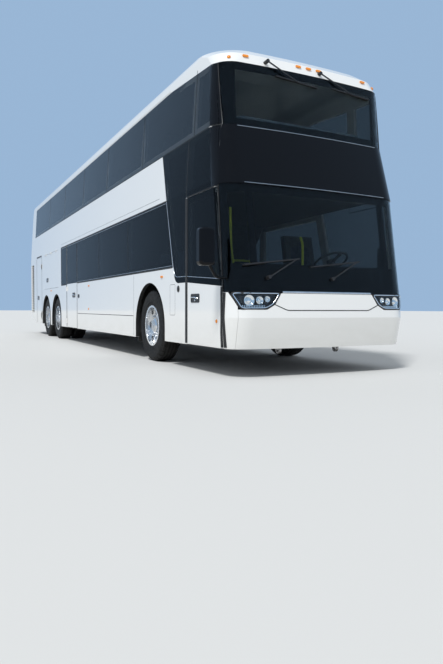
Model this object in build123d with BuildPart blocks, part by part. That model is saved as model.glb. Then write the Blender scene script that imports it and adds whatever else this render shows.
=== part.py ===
from build123d import *
import os

os.makedirs("parts", exist_ok=True)

# A two-deck coach, in millimetres. +X points to the front, +Y to its left side and +Z up.
# The origin is on the ground, under the middle of the body.

# Overall form
LENGTH = 13716.0
WIDTH = 2590.0
HEIGHT = 3990.0
SKIRT_Z = 330.0
WAIST_Z = 2250.0          # the sides stand upright below this height
LEAN = 80.0               # each side leans in by this much between the waist and LEAN_Z
LEAN_Z = 3650.0
ROOF_CROWN = 60.0         # rise of the roof from its edges to its middle
SHOULDER_RADIUS = 140.0
NOSE_BULGE = 60.0
TAIL_BULGE = 30.0
WALL = 55.0               # full thickness of walls, doors and hatches
SKIN = 8.0                # thickness of the bonded glass, and depth of its rebate
SEAM = 6.0                # gap all round a door, a hatch or a pane
FIT = 0.3                 # gap between pieces that seat on each other

NOSE_X = LENGTH / 2
TAIL_X = -LENGTH / 2
SIDE_Y = WIDTH / 2
TOOL_REACH = 300.0        # how far a cutting prism reaches past the wall, each way

# Levels of the body
CREASE_Z = 680.0          # foremost line of the front bumper
LAMP_TOP_Z = 965.0
SCREEN_TOP_Z = 2195.0
BELT_TOP_Z = 2908.0
ROOF_FRONT_Z = 3640.0
ROOF_SIDE_Z = 3730.0
TAIL_BEVEL_Z = 610.0      # the tail's lower edge rises to this height
TAIL_BEVEL_RUN = 1000.0

# Plan of the body at each height: height, set-back and corner radius of the nose,
# and set-back and corner radius of the tail
PLAN_LEVELS = (
    (SKIRT_Z, 70.0, 300.0, 0.0, 130.0),
    (CREASE_Z, 0.0, 300.0, 0.0, 130.0),
    (LAMP_TOP_Z, 30.0, 300.0, 0.0, 130.0),
    (SCREEN_TOP_Z, 235.0, 290.0, 0.0, 130.0),
    (BELT_TOP_Z, 425.0, 280.0, 20.0, 130.0),
    (ROOF_FRONT_Z, 465.0, 280.0, 60.0, 130.0),
    (ROOF_FRONT_Z + 130.0, 520.0, 360.0, 90.0, 160.0),
    (ROOF_FRONT_Z + 220.0, 640.0, 500.0, 150.0, 200.0),
    (HEIGHT - ROOF_CROWN, 950.0, 700.0, 260.0, 260.0),
    (HEIGHT + 5.0, 1700.0, 900.0, 460.0, 300.0),
)

# Wheels and axles
TYRE_RADIUS = 525.0
TYRE_WIDTH = 292.0
RIM_FLANGE = 12.0
BEAD_INSET = 22.0         # how far a bead lies inside the tyre's widest place
TREAD_HALF = 118.0
SHOULDER_INSET = 8.0
SHOULDER_DROP = 34.0
TYRE_BEAD_RADIUS = 288.0
AXLE_Z = TYRE_RADIUS
FRONT_AXLE_X = 4200.0
DRIVE_AXLE_X = -2750.0
TAG_AXLE_X = -4150.0
WHEEL_Y = 1116.0          # middle of an outer tyre
TWIN_Y = 776.0            # middle of an inner tyre of the drive axle
KINGPIN_Y = 1000.0
SPINDLE_RADIUS = 40.0
FRONT_ARCH_RADIUS = 632.0
REAR_ARCH_RADIUS = 605.0

# Floors
LOWER_FLOOR_Z = 460.0
LOWER_FLOOR_DEPTH = 60.0
UPPER_FLOOR_Z = 2320.0
UPPER_FLOOR_DEPTH = 80.0
HOLD_FLOOR_Z = 1280.0
HOLD_FLOOR_DEPTH = 40.0
SALOON_REAR_X = -2070.0
DOOR_CLEAR = 50.0         # gap between the step and the inside of a closed door
PLATE = 35.0              # inner bulkheads
CARRIER = 25.0            # bar behind the front bumper and the lamps
BELT_PROUD = 10.0         # how far the panel between the screens stands out

# Seams of the shell: the side panels lie between these
FRONT_SEAM_X = 6590.0
FRONT_SEAM_TOP_X = 6230.0
FRONT_SEAM_KNEE_Z = LAMP_TOP_Z            # it stands upright below this height
REAR_SEAM_X = -6705.0
ROOF_JOINTS_X = (-6200.0, 4890.0)         # joints between the roof and its rear and front cap

# Doors and hatches: rear edge, front edge, sill and head of each opening. The entry door reaches
# forward to the front seam, so it has no front edge of its own.
ENTRY_DOOR = (5580.0, SKIRT_Z, 2172.0)
MID_DOOR = (-1490.0, -440.0, SKIRT_Z, 2240.0)
LUGGAGE_DOOR = (-4490.0, -2490.0, 1292.0, 2230.0)
REAR_HATCH = (-5660.0, -4850.0, SKIRT_Z, 2220.0)
SIDE_GRILLE = (-6690.0, -6150.0, 600.0, 2110.0)
ENGINE_LID = (930.0, 900.0, 1920.0)       # half width, sill and head

# Glass bands
LOWER_GLASS = (-2140.0, 1330.0, 2240.0)   # rear end, sill and head
QUARTER_TOP_X = 4650.0                    # the white side panel's front end, at its head
QUARTER_HEAD_X = 4890.0                   # and at the head of the lower glass
QUARTER_SILL_X = 5140.0                   # and at its sill
QUARTER_CORNER = 150.0                    # radius of the black glass there
UPPER_GLASS_REAR_X = -6100.0
UPPER_SILL_Z = 2905.0
UPPER_DIVIDERS = (-3830.0, -1920.0, -40.0, 1800.0, 3790.0, 5730.0)
LOWER_DIVIDERS = (1370.0, 3180.0)
GLASS_MARGIN = 70.0       # black edge of a pane, bonded to the frame behind it
SCREEN_CLEAR = (930.0, 1290.0, 2110.0)    # half width, sill and head of the lower screen's opening
CORNER_WINDOW = (990.0, 1205.0)           # inner and outer edge of the opening beside it
UPPER_SCREEN_CLEAR = (1020.0, 2985.0, 3570.0)
REAR_WINDOW = (960.0, 2960.0, 3600.0)
TAIL_LAMP = (1000.0, 1160.0, 940.0, 1560.0)
TAIL_BUMPER_Z = 860.0

# Lower front
BUMPER_Y = 1180.0         # the bumper's end seams
LAMP_TOP_Y = (663.0, 1252.0)
LAMP_FOOT_Y = (850.0, 1165.0)
LAMP_FOOT_Z = 778.0
LAMP_KINK = (752.0, 832.0)
LAMP_CORNER = 40.0        # radius of its lower corners
CENTRE_FOOT = (588.0, 768.0)              # lower corner of the panel between the lamps
CENTRE_CORNER = 160.0
CARRIER_Z = (400.0, 1100.0)
CARRIER_SET = 20.0        # how far its ends stay ahead of the front seam
LAMP_GAP = 4.0

# Side grilles
GRILLE_FRAME = 28.0
GRILLE_SLATS = 19
SLAT_RECESS = 12.0
SLAT_DROP = 34.0
SLAT_THICK = 7.0

# Entry door gear: two cranked arms on a post turn, and the door keeps its heading
DOOR_GLASS_REAR_Z = 1112.0
DOOR_GLASS_FRONT_Z = 1035.0
DOOR_POST = (5652.0, -1214.0)
DOOR_PIN = (6130.0, -1194.0)
ARM_ELBOW = (5700.0, -1091.0)
ARM_HEIGHTS = (760.0, 2124.0)
ARM_DEPTH = 24.0
ARM_WIDTH = 28.0
ARM_RING = 24.0
PIN_RADIUS = 12.0
POST_RADIUS = 18.0
POST_TOP_Z = 2200.0
POST_SEAT = 12.0          # floor left round the post
BRACKET = 14.0

# Running gear
BEAM_Z = (232.0, 320.0)   # drop-centre front axle
BEAM_X = 50.0             # half its width
BEAM_RISE_Y = (700.0, 880.0)
KINGPIN_RADIUS = 24.0
KINGPIN_BOSS = 44.0
YOKE = 30.0
KNUCKLE_HALF = 78.0
SPINDLE_END_Y = 1205.0
HUB_RADIUS = 110.0
DRUM_RADIUS = 205.0
AXLE_TUBE = 68.0
DIFFERENTIAL = 190.0
HAND_HOLES = 10
HAND_HOLE = 30.0
HAND_HOLE_CIRCLE = 222.0
RAIL_Y = (390.0, 470.0)
RAIL_LOW_Z = (330.0, 400.0)
RAIL_HIGH_Z = (700.0, 780.0)
RAIL_RISE_X = (-2140.0, -2085.0)
RAIL_FRONT_X = 6480.0
RAIL_REAR_X = -6600.0
LOW_BEAMS_X = (600.0, 3000.0, 5400.0)     # cross-beams under the saloon
BEAM_HALF = 40.0
HOUSING_PLATE = 10.0
HOUSING_GAP = 20.0        # between a housing and the beam behind it
AXLE_SLOT = AXLE_TUBE + 40.0
FRONT_HOUSING_Y = 592.0
FRONT_HOUSING_HALF = 655.0
FRONT_HOUSING_TOP_Z = 1190.0
REAR_HOUSING_Y = 562.0
REAR_HOUSING_X = (-4732.0, -2150.0)
ENGINE = (-6480.0, -5000.0, 375.0, 470.0, 1480.0)   # rear, front, half width, low and high

# Seats
SEAT_PITCH = 790.0
UPPER_SEATS_X = 5150.0    # foremost upper row
UPPER_ROWS = 14
LOWER_SEATS_X = ((1, -1780.0), (-1, 100.0))   # side, and place of its rearmost lower row
LOWER_ROWS = 4
STAIR_X = (1560.0, 3400.0)
STAIR_Y = (560.0, 1150.0)
STAIR_STEPS = 8
SEAT_Y = (300.0, 1130.0)

# Driver's place
CAB_FLOOR_Z = 760.0
DRIVER_Y = 640.0
DRIVER_X = 5330.0
DRIVER_SEAT_HALF = 240.0
PLATFORM_FRONT_X = 6200.0
PLATFORM_INNER_Y = 60.0
DASH_X = 6330.0
DASH_Y = 1120.0
DASH_Z = 1230.0
STEERING_X = 6010.0
STEERING_Z = 1420.0
STEERING_RADIUS = 225.0
STEERING_COLUMN = 760.0

# Mirrors
MIRROR_Y = 1545.0
MIRROR_Z = 1450.0
MIRROR_RIGHT_X = 6700.0
MIRROR_LEFT_X = 6060.0
MIRROR_WIDTH = 190.0
MIRROR_HEIGHT = 410.0
MIRROR_DEPTH = 95.0
MIRROR_GLASS = 6.0
MIRROR_ARM = 16.0

# Wipers: places of the hub, of the arm's end and of both ends of the blade, each as y and z on the nose
WIPERS = (
    (-820.0, 1130.0, -430.0, 1350.0, -395.0, 1354.0, -1120.0, 1265.0),
    (60.0, 1130.0, 450.0, 1350.0, 485.0, 1354.0, -240.0, 1265.0),
    (-620.0, 3690.0, -215.0, 3520.0, -500.0, 3540.0, 90.0, 3498.0),
    (150.0, 3690.0, 610.0, 3515.0, 330.0, 3535.0, 915.0, 3493.0),
)
WIPER_HUB = 22.0
WIPER_FOOT = 80.0         # how far a hub reaches back to its seat
WIPER_RISE = 26.0
WIPER_ARM = 16.0
WIPER_BLADE = 14.0

# Lamps on the skin
SIDE_MARKERS = ((590.0, 1232.0), (4720.0, 1222.0), (-3440.0, 1232.0))
ROOF_MARKERS = (-870.0, -150.0, 0.0, 150.0, 870.0)
ROOF_MARKER_Z = 3735.0
MARKER_LENGTH = 75.0
MARKER_HEIGHT = 28.0
MARKER_RISE = 12.0

# Tow eyes
EYE_RADIUS = 46.0
EYE_BORE = 26.0
EYE_THICK = 30.0
EYE_X = 6400.0
EYE_DROP = 46.0

# Hinges: a barrel with a pin on the body, and a barrel that turns on it. Their spots are counted along
# the hinge line from the middle of the door or lid.
HOLD_HINGES = (-700.0, 0.0, 700.0)
HATCH_HINGES = (-700.0, 700.0)
MID_HINGES = (60.0, 800.0)
LID_HINGES = (-260.0, 260.0)
HINGE_STAND_OFF = 11.0
HINGE_BARREL = 10.0
HINGE_PIN = 6.0
HINGE_LENGTH = 55.0
LEAF = 46.0
LEAF_OUT = 4.0
LEAF_SINK = 6.0


def side_y(z):
    """Half width of the body at a height."""
    if z <= WAIST_Z:
        return SIDE_Y
    return SIDE_Y - LEAN * (z - WAIST_Z) / (LEAN_Z - WAIST_Z)


def body_form(inset):
    """The body's outer form, moved in by inset. A form that is moved in runs down past the skirt."""
    overlap = 5.0
    with BuildPart() as plan_form:
        for z, nose_back, nose_radius, tail_back, tail_radius in PLAN_LEVELS:
            nose = NOSE_X - nose_back - inset
            tail = TAIL_X + tail_back + inset
            half = side_y(z) + overlap - inset
            level = z - inset if z > ROOF_FRONT_Z else z
            if z == SKIRT_Z and inset > 0:
                level = z - 2 * TOOL_REACH
            with BuildSketch(Plane.XY.offset(level)) as outline:
                with BuildLine():
                    Line((nose - NOSE_BULGE, half), (tail + TAIL_BULGE, half))
                    ThreePointArc((tail + TAIL_BULGE, half), (tail, 0), (tail + TAIL_BULGE, -half))
                    Line((tail + TAIL_BULGE, -half), (nose - NOSE_BULGE, -half))
                    ThreePointArc((nose - NOSE_BULGE, -half), (nose, 0), (nose - NOSE_BULGE, half))
                make_face()
                fillet(outline.vertices().group_by(Axis.X)[-1], nose_radius - inset)
                fillet(outline.vertices().group_by(Axis.X)[0], tail_radius - inset)
        loft(ruled=True)
    edge_z = HEIGHT - ROOF_CROWN
    foot_z = SKIRT_Z - 3 * TOOL_REACH
    with BuildPart() as form:
        with BuildSketch(Plane.YZ.offset(TAIL_X - TOOL_REACH)) as section:
            with BuildLine():
                Polyline((-side_y(edge_z), edge_z), (-SIDE_Y, WAIST_Z), (-SIDE_Y, foot_z),
                         (SIDE_Y, foot_z), (SIDE_Y, WAIST_Z), (side_y(edge_z), edge_z))
                ThreePointArc((side_y(edge_z), edge_z), (0, HEIGHT), (-side_y(edge_z), edge_z))
            make_face()
            fillet(section.vertices().group_by(Axis.Y)[-1], SHOULDER_RADIUS)
            if inset != 0:
                offset(amount=-inset, kind=Kind.INTERSECTION)
        extrude(amount=LENGTH + 2 * TOOL_REACH)
        add(plan_form.part, mode=Mode.INTERSECT)
        if inset <= 0:
            with BuildSketch(Plane.XZ.offset(-WIDTH)):
                with BuildLine():
                    Polyline((TAIL_X - TOOL_REACH, SKIRT_Z - 1), (TAIL_X + TAIL_BEVEL_RUN, SKIRT_Z - 1),
                             (TAIL_X, TAIL_BEVEL_Z), (TAIL_X - TOOL_REACH, TAIL_BEVEL_Z), close=True)
                make_face()
            extrude(amount=2 * WIDTH, mode=Mode.SUBTRACT)
    return form.part


def side_prism(side, points, margin=0.0, rounded=None):
    """A prism across one side wall from points (x, z), drawn in by margin. side is -1 on the right.
    rounded is the radius of the corner at the first point."""
    plane_y = -(SIDE_Y - TOOL_REACH) if side < 0 else SIDE_Y + TOOL_REACH
    with BuildPart() as prism:
        with BuildSketch(Plane.XZ.offset(-plane_y)) as outline:
            with BuildLine():
                Polyline(*points, close=True)
            make_face()
            if rounded:
                fillet(outline.vertices().sort_by_distance((*points[0], 0))[0], rounded)
            if margin != 0:
                offset(amount=-margin, kind=Kind.INTERSECTION)
        extrude(amount=2 * TOOL_REACH)
    return prism.part


def span_prism(points):
    """A prism right across the body from points (x, z)."""
    with BuildPart() as prism:
        with BuildSketch(Plane.XZ.offset(-WIDTH)):
            with BuildLine():
                Polyline(*points, close=True)
            make_face()
        extrude(amount=2 * WIDTH)
    return prism.part


def end_prism(points, end, rounded=0.0, corners=()):
    """A prism along X through the nose (end 1) or the tail (end -1) from points (y, z).
    rounded is the radius of the corners named by their points."""
    start_x = NOSE_X - 5 * TOOL_REACH if end > 0 else TAIL_X - TOOL_REACH
    length = 6 * TOOL_REACH if end > 0 else 3 * TOOL_REACH
    with BuildPart() as prism:
        with BuildSketch(Plane.YZ.offset(start_x)) as outline:
            with BuildLine():
                Polyline(*points, close=True)
            make_face()
            for corner in corners:
                fillet(outline.vertices().sort_by_distance((*corner, 0))[0], rounded)
        extrude(amount=length)
    return prism.part


def rect(opening, gap=0.0):
    """Corner points of an opening (low x, high x, low z, high z), drawn in by gap."""
    x0, x1, z0, z1 = opening
    return ((x0 + gap, z0 + gap), (x1 - gap, z0 + gap), (x1 - gap, z1 - gap), (x0 + gap, z1 - gap))


def arch(axle_x, radius):
    """A wheel arch through both sides, round above the axle and upright below it."""
    with BuildPart() as tool:
        with BuildSketch(Plane.XZ.offset(-WIDTH)):
            with Locations((axle_x, AXLE_Z)):
                Circle(radius)
            with Locations((axle_x, AXLE_Z / 2)):
                Rectangle(2 * radius, AXLE_Z)
        extrude(amount=2 * WIDTH)
    return tool.part


def block(x0, x1, y0, y1, z0, z1):
    """A plain block between two corners."""
    with BuildPart() as solid:
        with BuildSketch(Plane.XY.offset(z0)):
            with Locations(((x0 + x1) / 2, (y0 + y1) / 2)):
                Rectangle(x1 - x0, y1 - y0)
        extrude(amount=z1 - z0)
    return solid.part


def write(piece, node):
    """Label a finished piece and write it to its own file."""
    piece.label = node
    export_step(piece, f"parts/{node}.step")


OUTER = body_form(0.0)
REBATE = body_form(SKIN)
INNER = body_form(WALL)
CABIN = body_form(WALL + FIT)
CARRIER_INNER = body_form(WALL + CARRIER)
PROUD = body_form(-BELT_PROUD)
CLEAR = body_form(-FIT)
MARKER_FORM = body_form(-MARKER_RISE)

# Regions of the shell, seen from the side
SIDE_REGION = (
    (REAR_SEAM_X, SKIRT_Z - 10), (FRONT_SEAM_X, SKIRT_Z - 10), (FRONT_SEAM_X, FRONT_SEAM_KNEE_Z),
    (FRONT_SEAM_TOP_X, ROOF_FRONT_Z), (QUARTER_HEAD_X, ROOF_SIDE_Z), (REAR_SEAM_X, ROOF_SIDE_Z),
)


def pane_points(rear_x, front_x):
    """Outline of one upper pane. Its head follows the roof's edge, and its front end the front seam."""
    gap = SEAM / 2
    head_rear = upper_head(rear_x) - gap
    head_front = upper_head(front_x) - gap
    points = [(rear_x + gap, UPPER_SILL_Z), (front_x - gap, UPPER_SILL_Z)]
    if front_x > FRONT_SEAM_TOP_X:
        points = [(rear_x + gap, UPPER_SILL_Z), (seam_x(UPPER_SILL_Z) - gap, UPPER_SILL_Z)]
        points.append((seam_x(head_front) - gap, head_front))
    else:
        points.append((front_x - gap, head_front))
    if rear_x < QUARTER_HEAD_X < front_x:
        points.append((QUARTER_HEAD_X, ROOF_SIDE_Z - gap))
    points.append((rear_x + gap, head_rear))
    return points


def upper_head(x):
    """Height of the roof's lower edge along the side."""
    if x <= QUARTER_HEAD_X:
        return ROOF_SIDE_Z
    share = (x - QUARTER_HEAD_X) / (FRONT_SEAM_TOP_X - QUARTER_HEAD_X)
    return ROOF_SIDE_Z + min(share, 1.0) * (ROOF_FRONT_Z - ROOF_SIDE_Z)


def seam_x(z):
    """Place of the front seam at a height."""
    share = (z - FRONT_SEAM_KNEE_Z) / (ROOF_FRONT_Z - FRONT_SEAM_KNEE_Z)
    return FRONT_SEAM_X + min(max(share, 0.0), 1.0) * (FRONT_SEAM_TOP_X - FRONT_SEAM_X)


# Panes of one side: name and outline. The quarter panes fill the space before the white panel.
half_seam = SEAM / 2
ends = (UPPER_GLASS_REAR_X,) + UPPER_DIVIDERS + (NOSE_X,)
upper_panes = [pane_points(ends[i], ends[i + 1]) for i in range(len(ends) - 1)]
low_rear, low_sill, low_head = LOWER_GLASS


def quarter_x(z):
    """Front end of the white side panel at a height."""
    if z >= low_head:
        share = (z - low_head) / (UPPER_SILL_Z - low_head)
        return QUARTER_HEAD_X + share * (QUARTER_TOP_X - QUARTER_HEAD_X)
    share = (z - low_sill) / (low_head - low_sill)
    return QUARTER_SILL_X + share * (QUARTER_HEAD_X - QUARTER_SILL_X)


def lower_panes(side):
    """Outlines of the lower glass of one side, split at its doors and dividers."""
    cuts = [low_rear, *LOWER_DIVIDERS]
    if side < 0:
        cuts = [low_rear, MID_DOOR[0], MID_DOOR[1], *LOWER_DIVIDERS]
    panes = []
    for rear_x, front_x in zip(cuts, cuts[1:]):
        if side < 0 and rear_x == MID_DOOR[0]:
            continue
        panes.append(rect((rear_x, front_x, low_sill, low_head), half_seam))
    rear_x, sill, head = cuts[-1] + half_seam, low_sill + half_seam, low_head - half_seam
    front_low, front_high = quarter_x(low_sill) - half_seam, quarter_x(low_head) - half_seam
    panes.append(((rear_x, sill), (front_low, sill), (front_high, head), (rear_x, head)))
    return panes


def quarter_panes(side):
    """Outlines of the black glass between the white panel and the nose, on one side."""
    head = UPPER_SILL_Z - SEAM
    door_rear, _, door_head = ENTRY_DOOR
    foot = DOOR_GLASS_REAR_Z
    rear_low = (quarter_x(foot) + half_seam, foot)
    rear_mid = (quarter_x(low_head) + half_seam, low_head)
    rear_top = (quarter_x(head) + half_seam, head)
    if side > 0:
        front_low = (seam_x(foot) - half_seam, foot)
        return [(rear_low, front_low, (seam_x(head) - half_seam, head), rear_top, rear_mid)]
    over_door = ((door_rear, door_head + half_seam), (seam_x(door_head) - half_seam, door_head + half_seam),
                 (seam_x(head) - half_seam, head), (door_rear, head))
    behind_door = (rear_low, (door_rear - SEAM, foot), (door_rear - SEAM, head), rear_top, rear_mid)
    return [behind_door, over_door]


def grown(points):
    """Outline (y, z) moved out by the lamp gap, about its own middle."""
    middle_y = (min(y for y, z in points) + max(y for y, z in points)) / 2
    middle_z = (min(z for y, z in points) + max(z for y, z in points)) / 2
    return [(y + (LAMP_GAP if y > middle_y else -LAMP_GAP), z + (LAMP_GAP if z > middle_z else -LAMP_GAP))
            for y, z in points]


def joined(pieces):
    """Several pieces as one."""
    with BuildPart() as group:
        for piece in pieces:
            add(piece)
    return group.part


def cut(base, tools):
    """A piece with tools cut out of it."""
    with BuildPart() as piece:
        add(base)
        for tool in tools:
            add(tool, mode=Mode.SUBTRACT)
    return piece.part


def common(base, tool):
    """What two forms share."""
    with BuildPart() as piece:
        add(base)
        add(tool, mode=Mode.INTERSECT)
    return piece.part


SHELL = cut(OUTER, [INNER])
GLAZING = cut(OUTER, [REBATE])
PROUD_LAYER = cut(PROUD, [REBATE])


def skin(prism, layer=GLAZING):
    """The bonded outer layer of the shell inside a prism."""
    return common(layer, prism)


def shell(prism):
    """The full thickness of the shell inside a prism."""
    return common(SHELL, prism)


def rebate(prism):
    """Tool that cuts the rebate for a pane."""
    return cut(prism, [REBATE])


def hinge(place):
    """One hinge, fixed leaf and turning leaf. The place's x points to the door and its y outwards."""
    with BuildPart() as fixed:
        with BuildSketch(place.offset(-HINGE_LENGTH)):
            Circle(HINGE_BARREL)
            with Locations((-LEAF / 2, -HINGE_STAND_OFF + (LEAF_OUT - LEAF_SINK) / 2)):
                Rectangle(LEAF, LEAF_OUT + LEAF_SINK)
        extrude(amount=HINGE_LENGTH - FIT)
        with BuildSketch(place.offset(-HINGE_LENGTH)):
            Circle(HINGE_PIN)
        extrude(amount=2 * HINGE_LENGTH)
    with BuildPart() as turning:
        with BuildSketch(place):
            Circle(HINGE_BARREL)
            with Locations((LEAF / 2, -HINGE_STAND_OFF + (LEAF_OUT - LEAF_SINK) / 2)):
                Rectangle(LEAF, LEAF_OUT + LEAF_SINK)
            Circle(HINGE_PIN + FIT, mode=Mode.SUBTRACT)
        extrude(amount=HINGE_LENGTH)
    return fixed.part, turning.part


def hinge_row(axis_point, x_dir, axis_dir, spots):
    """Hinges on one axis, at spots along it: all fixed leaves, and all turning leaves."""
    fixed, turning = [], []
    for spot in spots:
        origin = Vector(axis_point) + Vector(axis_dir) * spot
        pair = hinge(Plane(origin=origin, x_dir=x_dir, z_dir=axis_dir))
        fixed.append(pair[0])
        turning.append(pair[1])
    return fixed, turning


# Side walls: one for each side, with the rebates of their glass and the openings of their doors. On the
# right the panel over the entry door is a panel of its own.
LOW = SKIRT_Z - 10.0
arches = [arch(FRONT_AXLE_X, FRONT_ARCH_RADIUS), arch(DRIVE_AXLE_X, REAR_ARCH_RADIUS),
          arch(TAG_AXLE_X, REAR_ARCH_RADIUS)]
upper_glass, lower_glass, grilles = [], [], []
for side, name in ((-1, "right"), (1, "left")):
    quarters = quarter_panes(side)
    uppers = joined([side_prism(side, points) for points in upper_panes])
    lowers = [side_prism(side, points) for points in [*lower_panes(side), *quarters[1:]]]
    lowers = joined([*lowers, side_prism(side, quarters[0], rounded=QUARTER_CORNER)])
    openings = [side_prism(side, points, GLASS_MARGIN)
                for points in [*upper_panes, *lower_panes(side), *quarters[1:]]]
    openings.append(side_prism(side, quarters[0], GLASS_MARGIN, QUARTER_CORNER))
    openings += [side_prism(side, rect(LUGGAGE_DOOR)), side_prism(side, rect(SIDE_GRILLE))]
    floor_openings = [REAR_HATCH]
    if side < 0:
        floor_openings += [(ENTRY_DOOR[0], NOSE_X, *ENTRY_DOOR[1:]), MID_DOOR]
    for rear_x, front_x, _, head in floor_openings:
        openings.append(side_prism(side, rect((rear_x, front_x, LOW, head))))
    tools = [rebate(uppers), rebate(lowers), joined([*openings, *arches])]
    if side < 0:
        tools.append(block(ENTRY_DOOR[0] - FIT, ENTRY_DOOR[0], -WIDTH, 0, LOW, HEIGHT))
    wall = cut(shell(side_prism(side, SIDE_REGION)), tools)
    axis_y = side * (SIDE_Y + HINGE_STAND_OFF)
    hold_rear_x, hold_front_x, hold_sill, hold_head = LUGGAGE_DOOR
    hold_axis = ((hold_rear_x + hold_front_x) / 2, axis_y, hold_head - half_seam)
    hold_fixed, hold_turning = hinge_row(hold_axis, (0, 0, -1), (side, 0, 0), HOLD_HINGES)
    hatch_axis = (REAR_HATCH[1] - half_seam, axis_y, (REAR_HATCH[2] + REAR_HATCH[3]) / 2)
    hatch_fixed, hatch_turning = hinge_row(hatch_axis, (-1, 0, 0), (0, 0, -side), HATCH_HINGES)
    hinges = hold_fixed + hatch_fixed
    if side < 0:
        mid_axis = (MID_DOOR[0] + half_seam, axis_y, (MID_DOOR[2] + MID_DOOR[3]) / 2)
        mid_fixed, mid_turning = hinge_row(mid_axis, (1, 0, 0), (0, 0, -1), MID_HINGES)
        hinges += mid_fixed
    write(joined([wall, *hinges]), f"side_wall_{name}")
    upper_glass.append(skin(uppers))
    lower_glass.append(skin(lowers))
    hold_door = shell(side_prism(side, rect(LUGGAGE_DOOR, SEAM)))
    write(joined([hold_door, *hold_turning]), f"luggage_door_{name}")
    write(joined([shell(side_prism(side, rect(REAR_HATCH, SEAM))), *hatch_turning]), f"rear_hatch_{name}")
    # Louvred grille: a frame with slats that slope outwards and down
    rear_x, front_x, sill, head = SIDE_GRILLE
    frame = cut(shell(side_prism(side, rect(SIDE_GRILLE, FIT))),
                [side_prism(side, rect(SIDE_GRILLE, GRILLE_FRAME))])
    with BuildPart() as slats:
        for row in range(GRILLE_SLATS):
            z = sill + GRILLE_FRAME + (row + 0.5) * (head - sill - 2 * GRILLE_FRAME) / GRILLE_SLATS
            with BuildSketch(Plane.YZ.offset(rear_x + GRILLE_FRAME - FIT)):
                with BuildLine():
                    Polyline((side * (SIDE_Y - SLAT_RECESS), z - SLAT_DROP),
                             (side * (SIDE_Y - SLAT_RECESS), z - SLAT_DROP + SLAT_THICK),
                             (side * (SIDE_Y - WALL), z + SLAT_THICK), (side * (SIDE_Y - WALL), z), close=True)
                make_face()
            extrude(amount=front_x - rear_x - 2 * GRILLE_FRAME + 2 * FIT)
    grilles.append(joined([frame, slats.part]))
write(joined(upper_glass), "upper_side_glass")
write(joined(lower_glass), "lower_side_glass")
write(joined(grilles), "side_grilles")

# Entry door: white below, glass above, on two arms
door_rear, door_sill, door_head = ENTRY_DOOR
door_front = FRONT_SEAM_X - SEAM
door_head_corners = ((seam_x(door_head) - SEAM, door_head - SEAM), (door_rear + SEAM, door_head - SEAM))
door_outline = ((door_rear + SEAM, door_sill + SEAM), (door_front, door_sill + SEAM),
                (door_front, FRONT_SEAM_KNEE_Z), *door_head_corners)
door_glass = ((door_rear + SEAM, DOOR_GLASS_REAR_Z), (seam_x(DOOR_GLASS_FRONT_Z) - SEAM, DOOR_GLASS_FRONT_Z),
              *door_head_corners)
glass_prism = side_prism(-1, door_glass)
panel = cut(shell(side_prism(-1, door_outline)),
            [rebate(glass_prism), side_prism(-1, door_glass, GLASS_MARGIN)])
pin_x, pin_y = DOOR_PIN
post_x, post_y = DOOR_POST
with BuildPart() as entry_panel:
    add(panel)
    for z in ARM_HEIGHTS:
        with BuildSketch(Plane.XY.offset(z - ARM_DEPTH / 2 - BRACKET - FIT)) as bracket:
            with Locations((pin_x, (pin_y - SIDE_Y + WALL) / 2)):
                Rectangle(2 * ARM_RING, pin_y + SIDE_Y - WALL)
            with Locations((pin_x, pin_y)):
                Circle(ARM_RING)
        extrude(amount=BRACKET)
        with BuildSketch(Plane.XY.offset(z - ARM_DEPTH / 2 - FIT)):
            with Locations((pin_x, pin_y)):
                Circle(PIN_RADIUS)
        extrude(amount=ARM_DEPTH + 2 * FIT)
write(entry_panel.part, "entry_door_panel")
write(skin(glass_prism), "entry_door_glass")

# Post and two cranked arms, which carry the entry door out and back along the side
elbow_x, elbow_y = ARM_ELBOW
with BuildPart() as arms:
    with BuildSketch(Plane.XY.offset(LOWER_FLOOR_Z + FIT)):
        with Locations((post_x, post_y)):
            Circle(POST_RADIUS)
    extrude(amount=POST_TOP_Z - LOWER_FLOOR_Z)
    for z in ARM_HEIGHTS:
        with BuildSketch(Plane.XY.offset(z - ARM_DEPTH / 2)):
            with BuildLine():
                Polyline((post_x, post_y), (elbow_x, elbow_y), (pin_x, pin_y))
                offset(amount=ARM_WIDTH / 2)
            make_face()
            with Locations((pin_x, pin_y)):
                Circle(ARM_RING)
                Circle(PIN_RADIUS + FIT, mode=Mode.SUBTRACT)
        extrude(amount=ARM_DEPTH)
write(arms.part, "entry_door_arms")

# Mid door, with glass in its upper half
mid_rear, mid_front, _, mid_head = MID_DOOR
mid_glass = rect((mid_rear, mid_front, low_sill, mid_head), SEAM)
mid_prism = side_prism(-1, mid_glass)
mid_panel = cut(shell(side_prism(-1, rect(MID_DOOR, SEAM))),
                [rebate(mid_prism), side_prism(-1, mid_glass, GLASS_MARGIN)])
write(joined([mid_panel, *mid_turning]), "mid_door_panel")
write(skin(mid_prism), "mid_door_glass")

# Roof
FAR_X = NOSE_X + TOOL_REACH
BACK_X = TAIL_X - TOOL_REACH
roof_region = ((BACK_X, ROOF_SIDE_Z), (QUARTER_HEAD_X, ROOF_SIDE_Z), (FRONT_SEAM_TOP_X, ROOF_FRONT_Z),
               (FAR_X, ROOF_FRONT_Z), (FAR_X, HEIGHT + TOOL_REACH), (BACK_X, HEIGHT + TOOL_REACH))
roof_joints = [block(x - FIT / 2, x + FIT / 2, -WIDTH, WIDTH, ROOF_FRONT_Z, HEIGHT + 1) for x in ROOF_JOINTS_X]
write(cut(shell(span_prism(roof_region)), roof_joints), "roof_shell")


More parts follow.
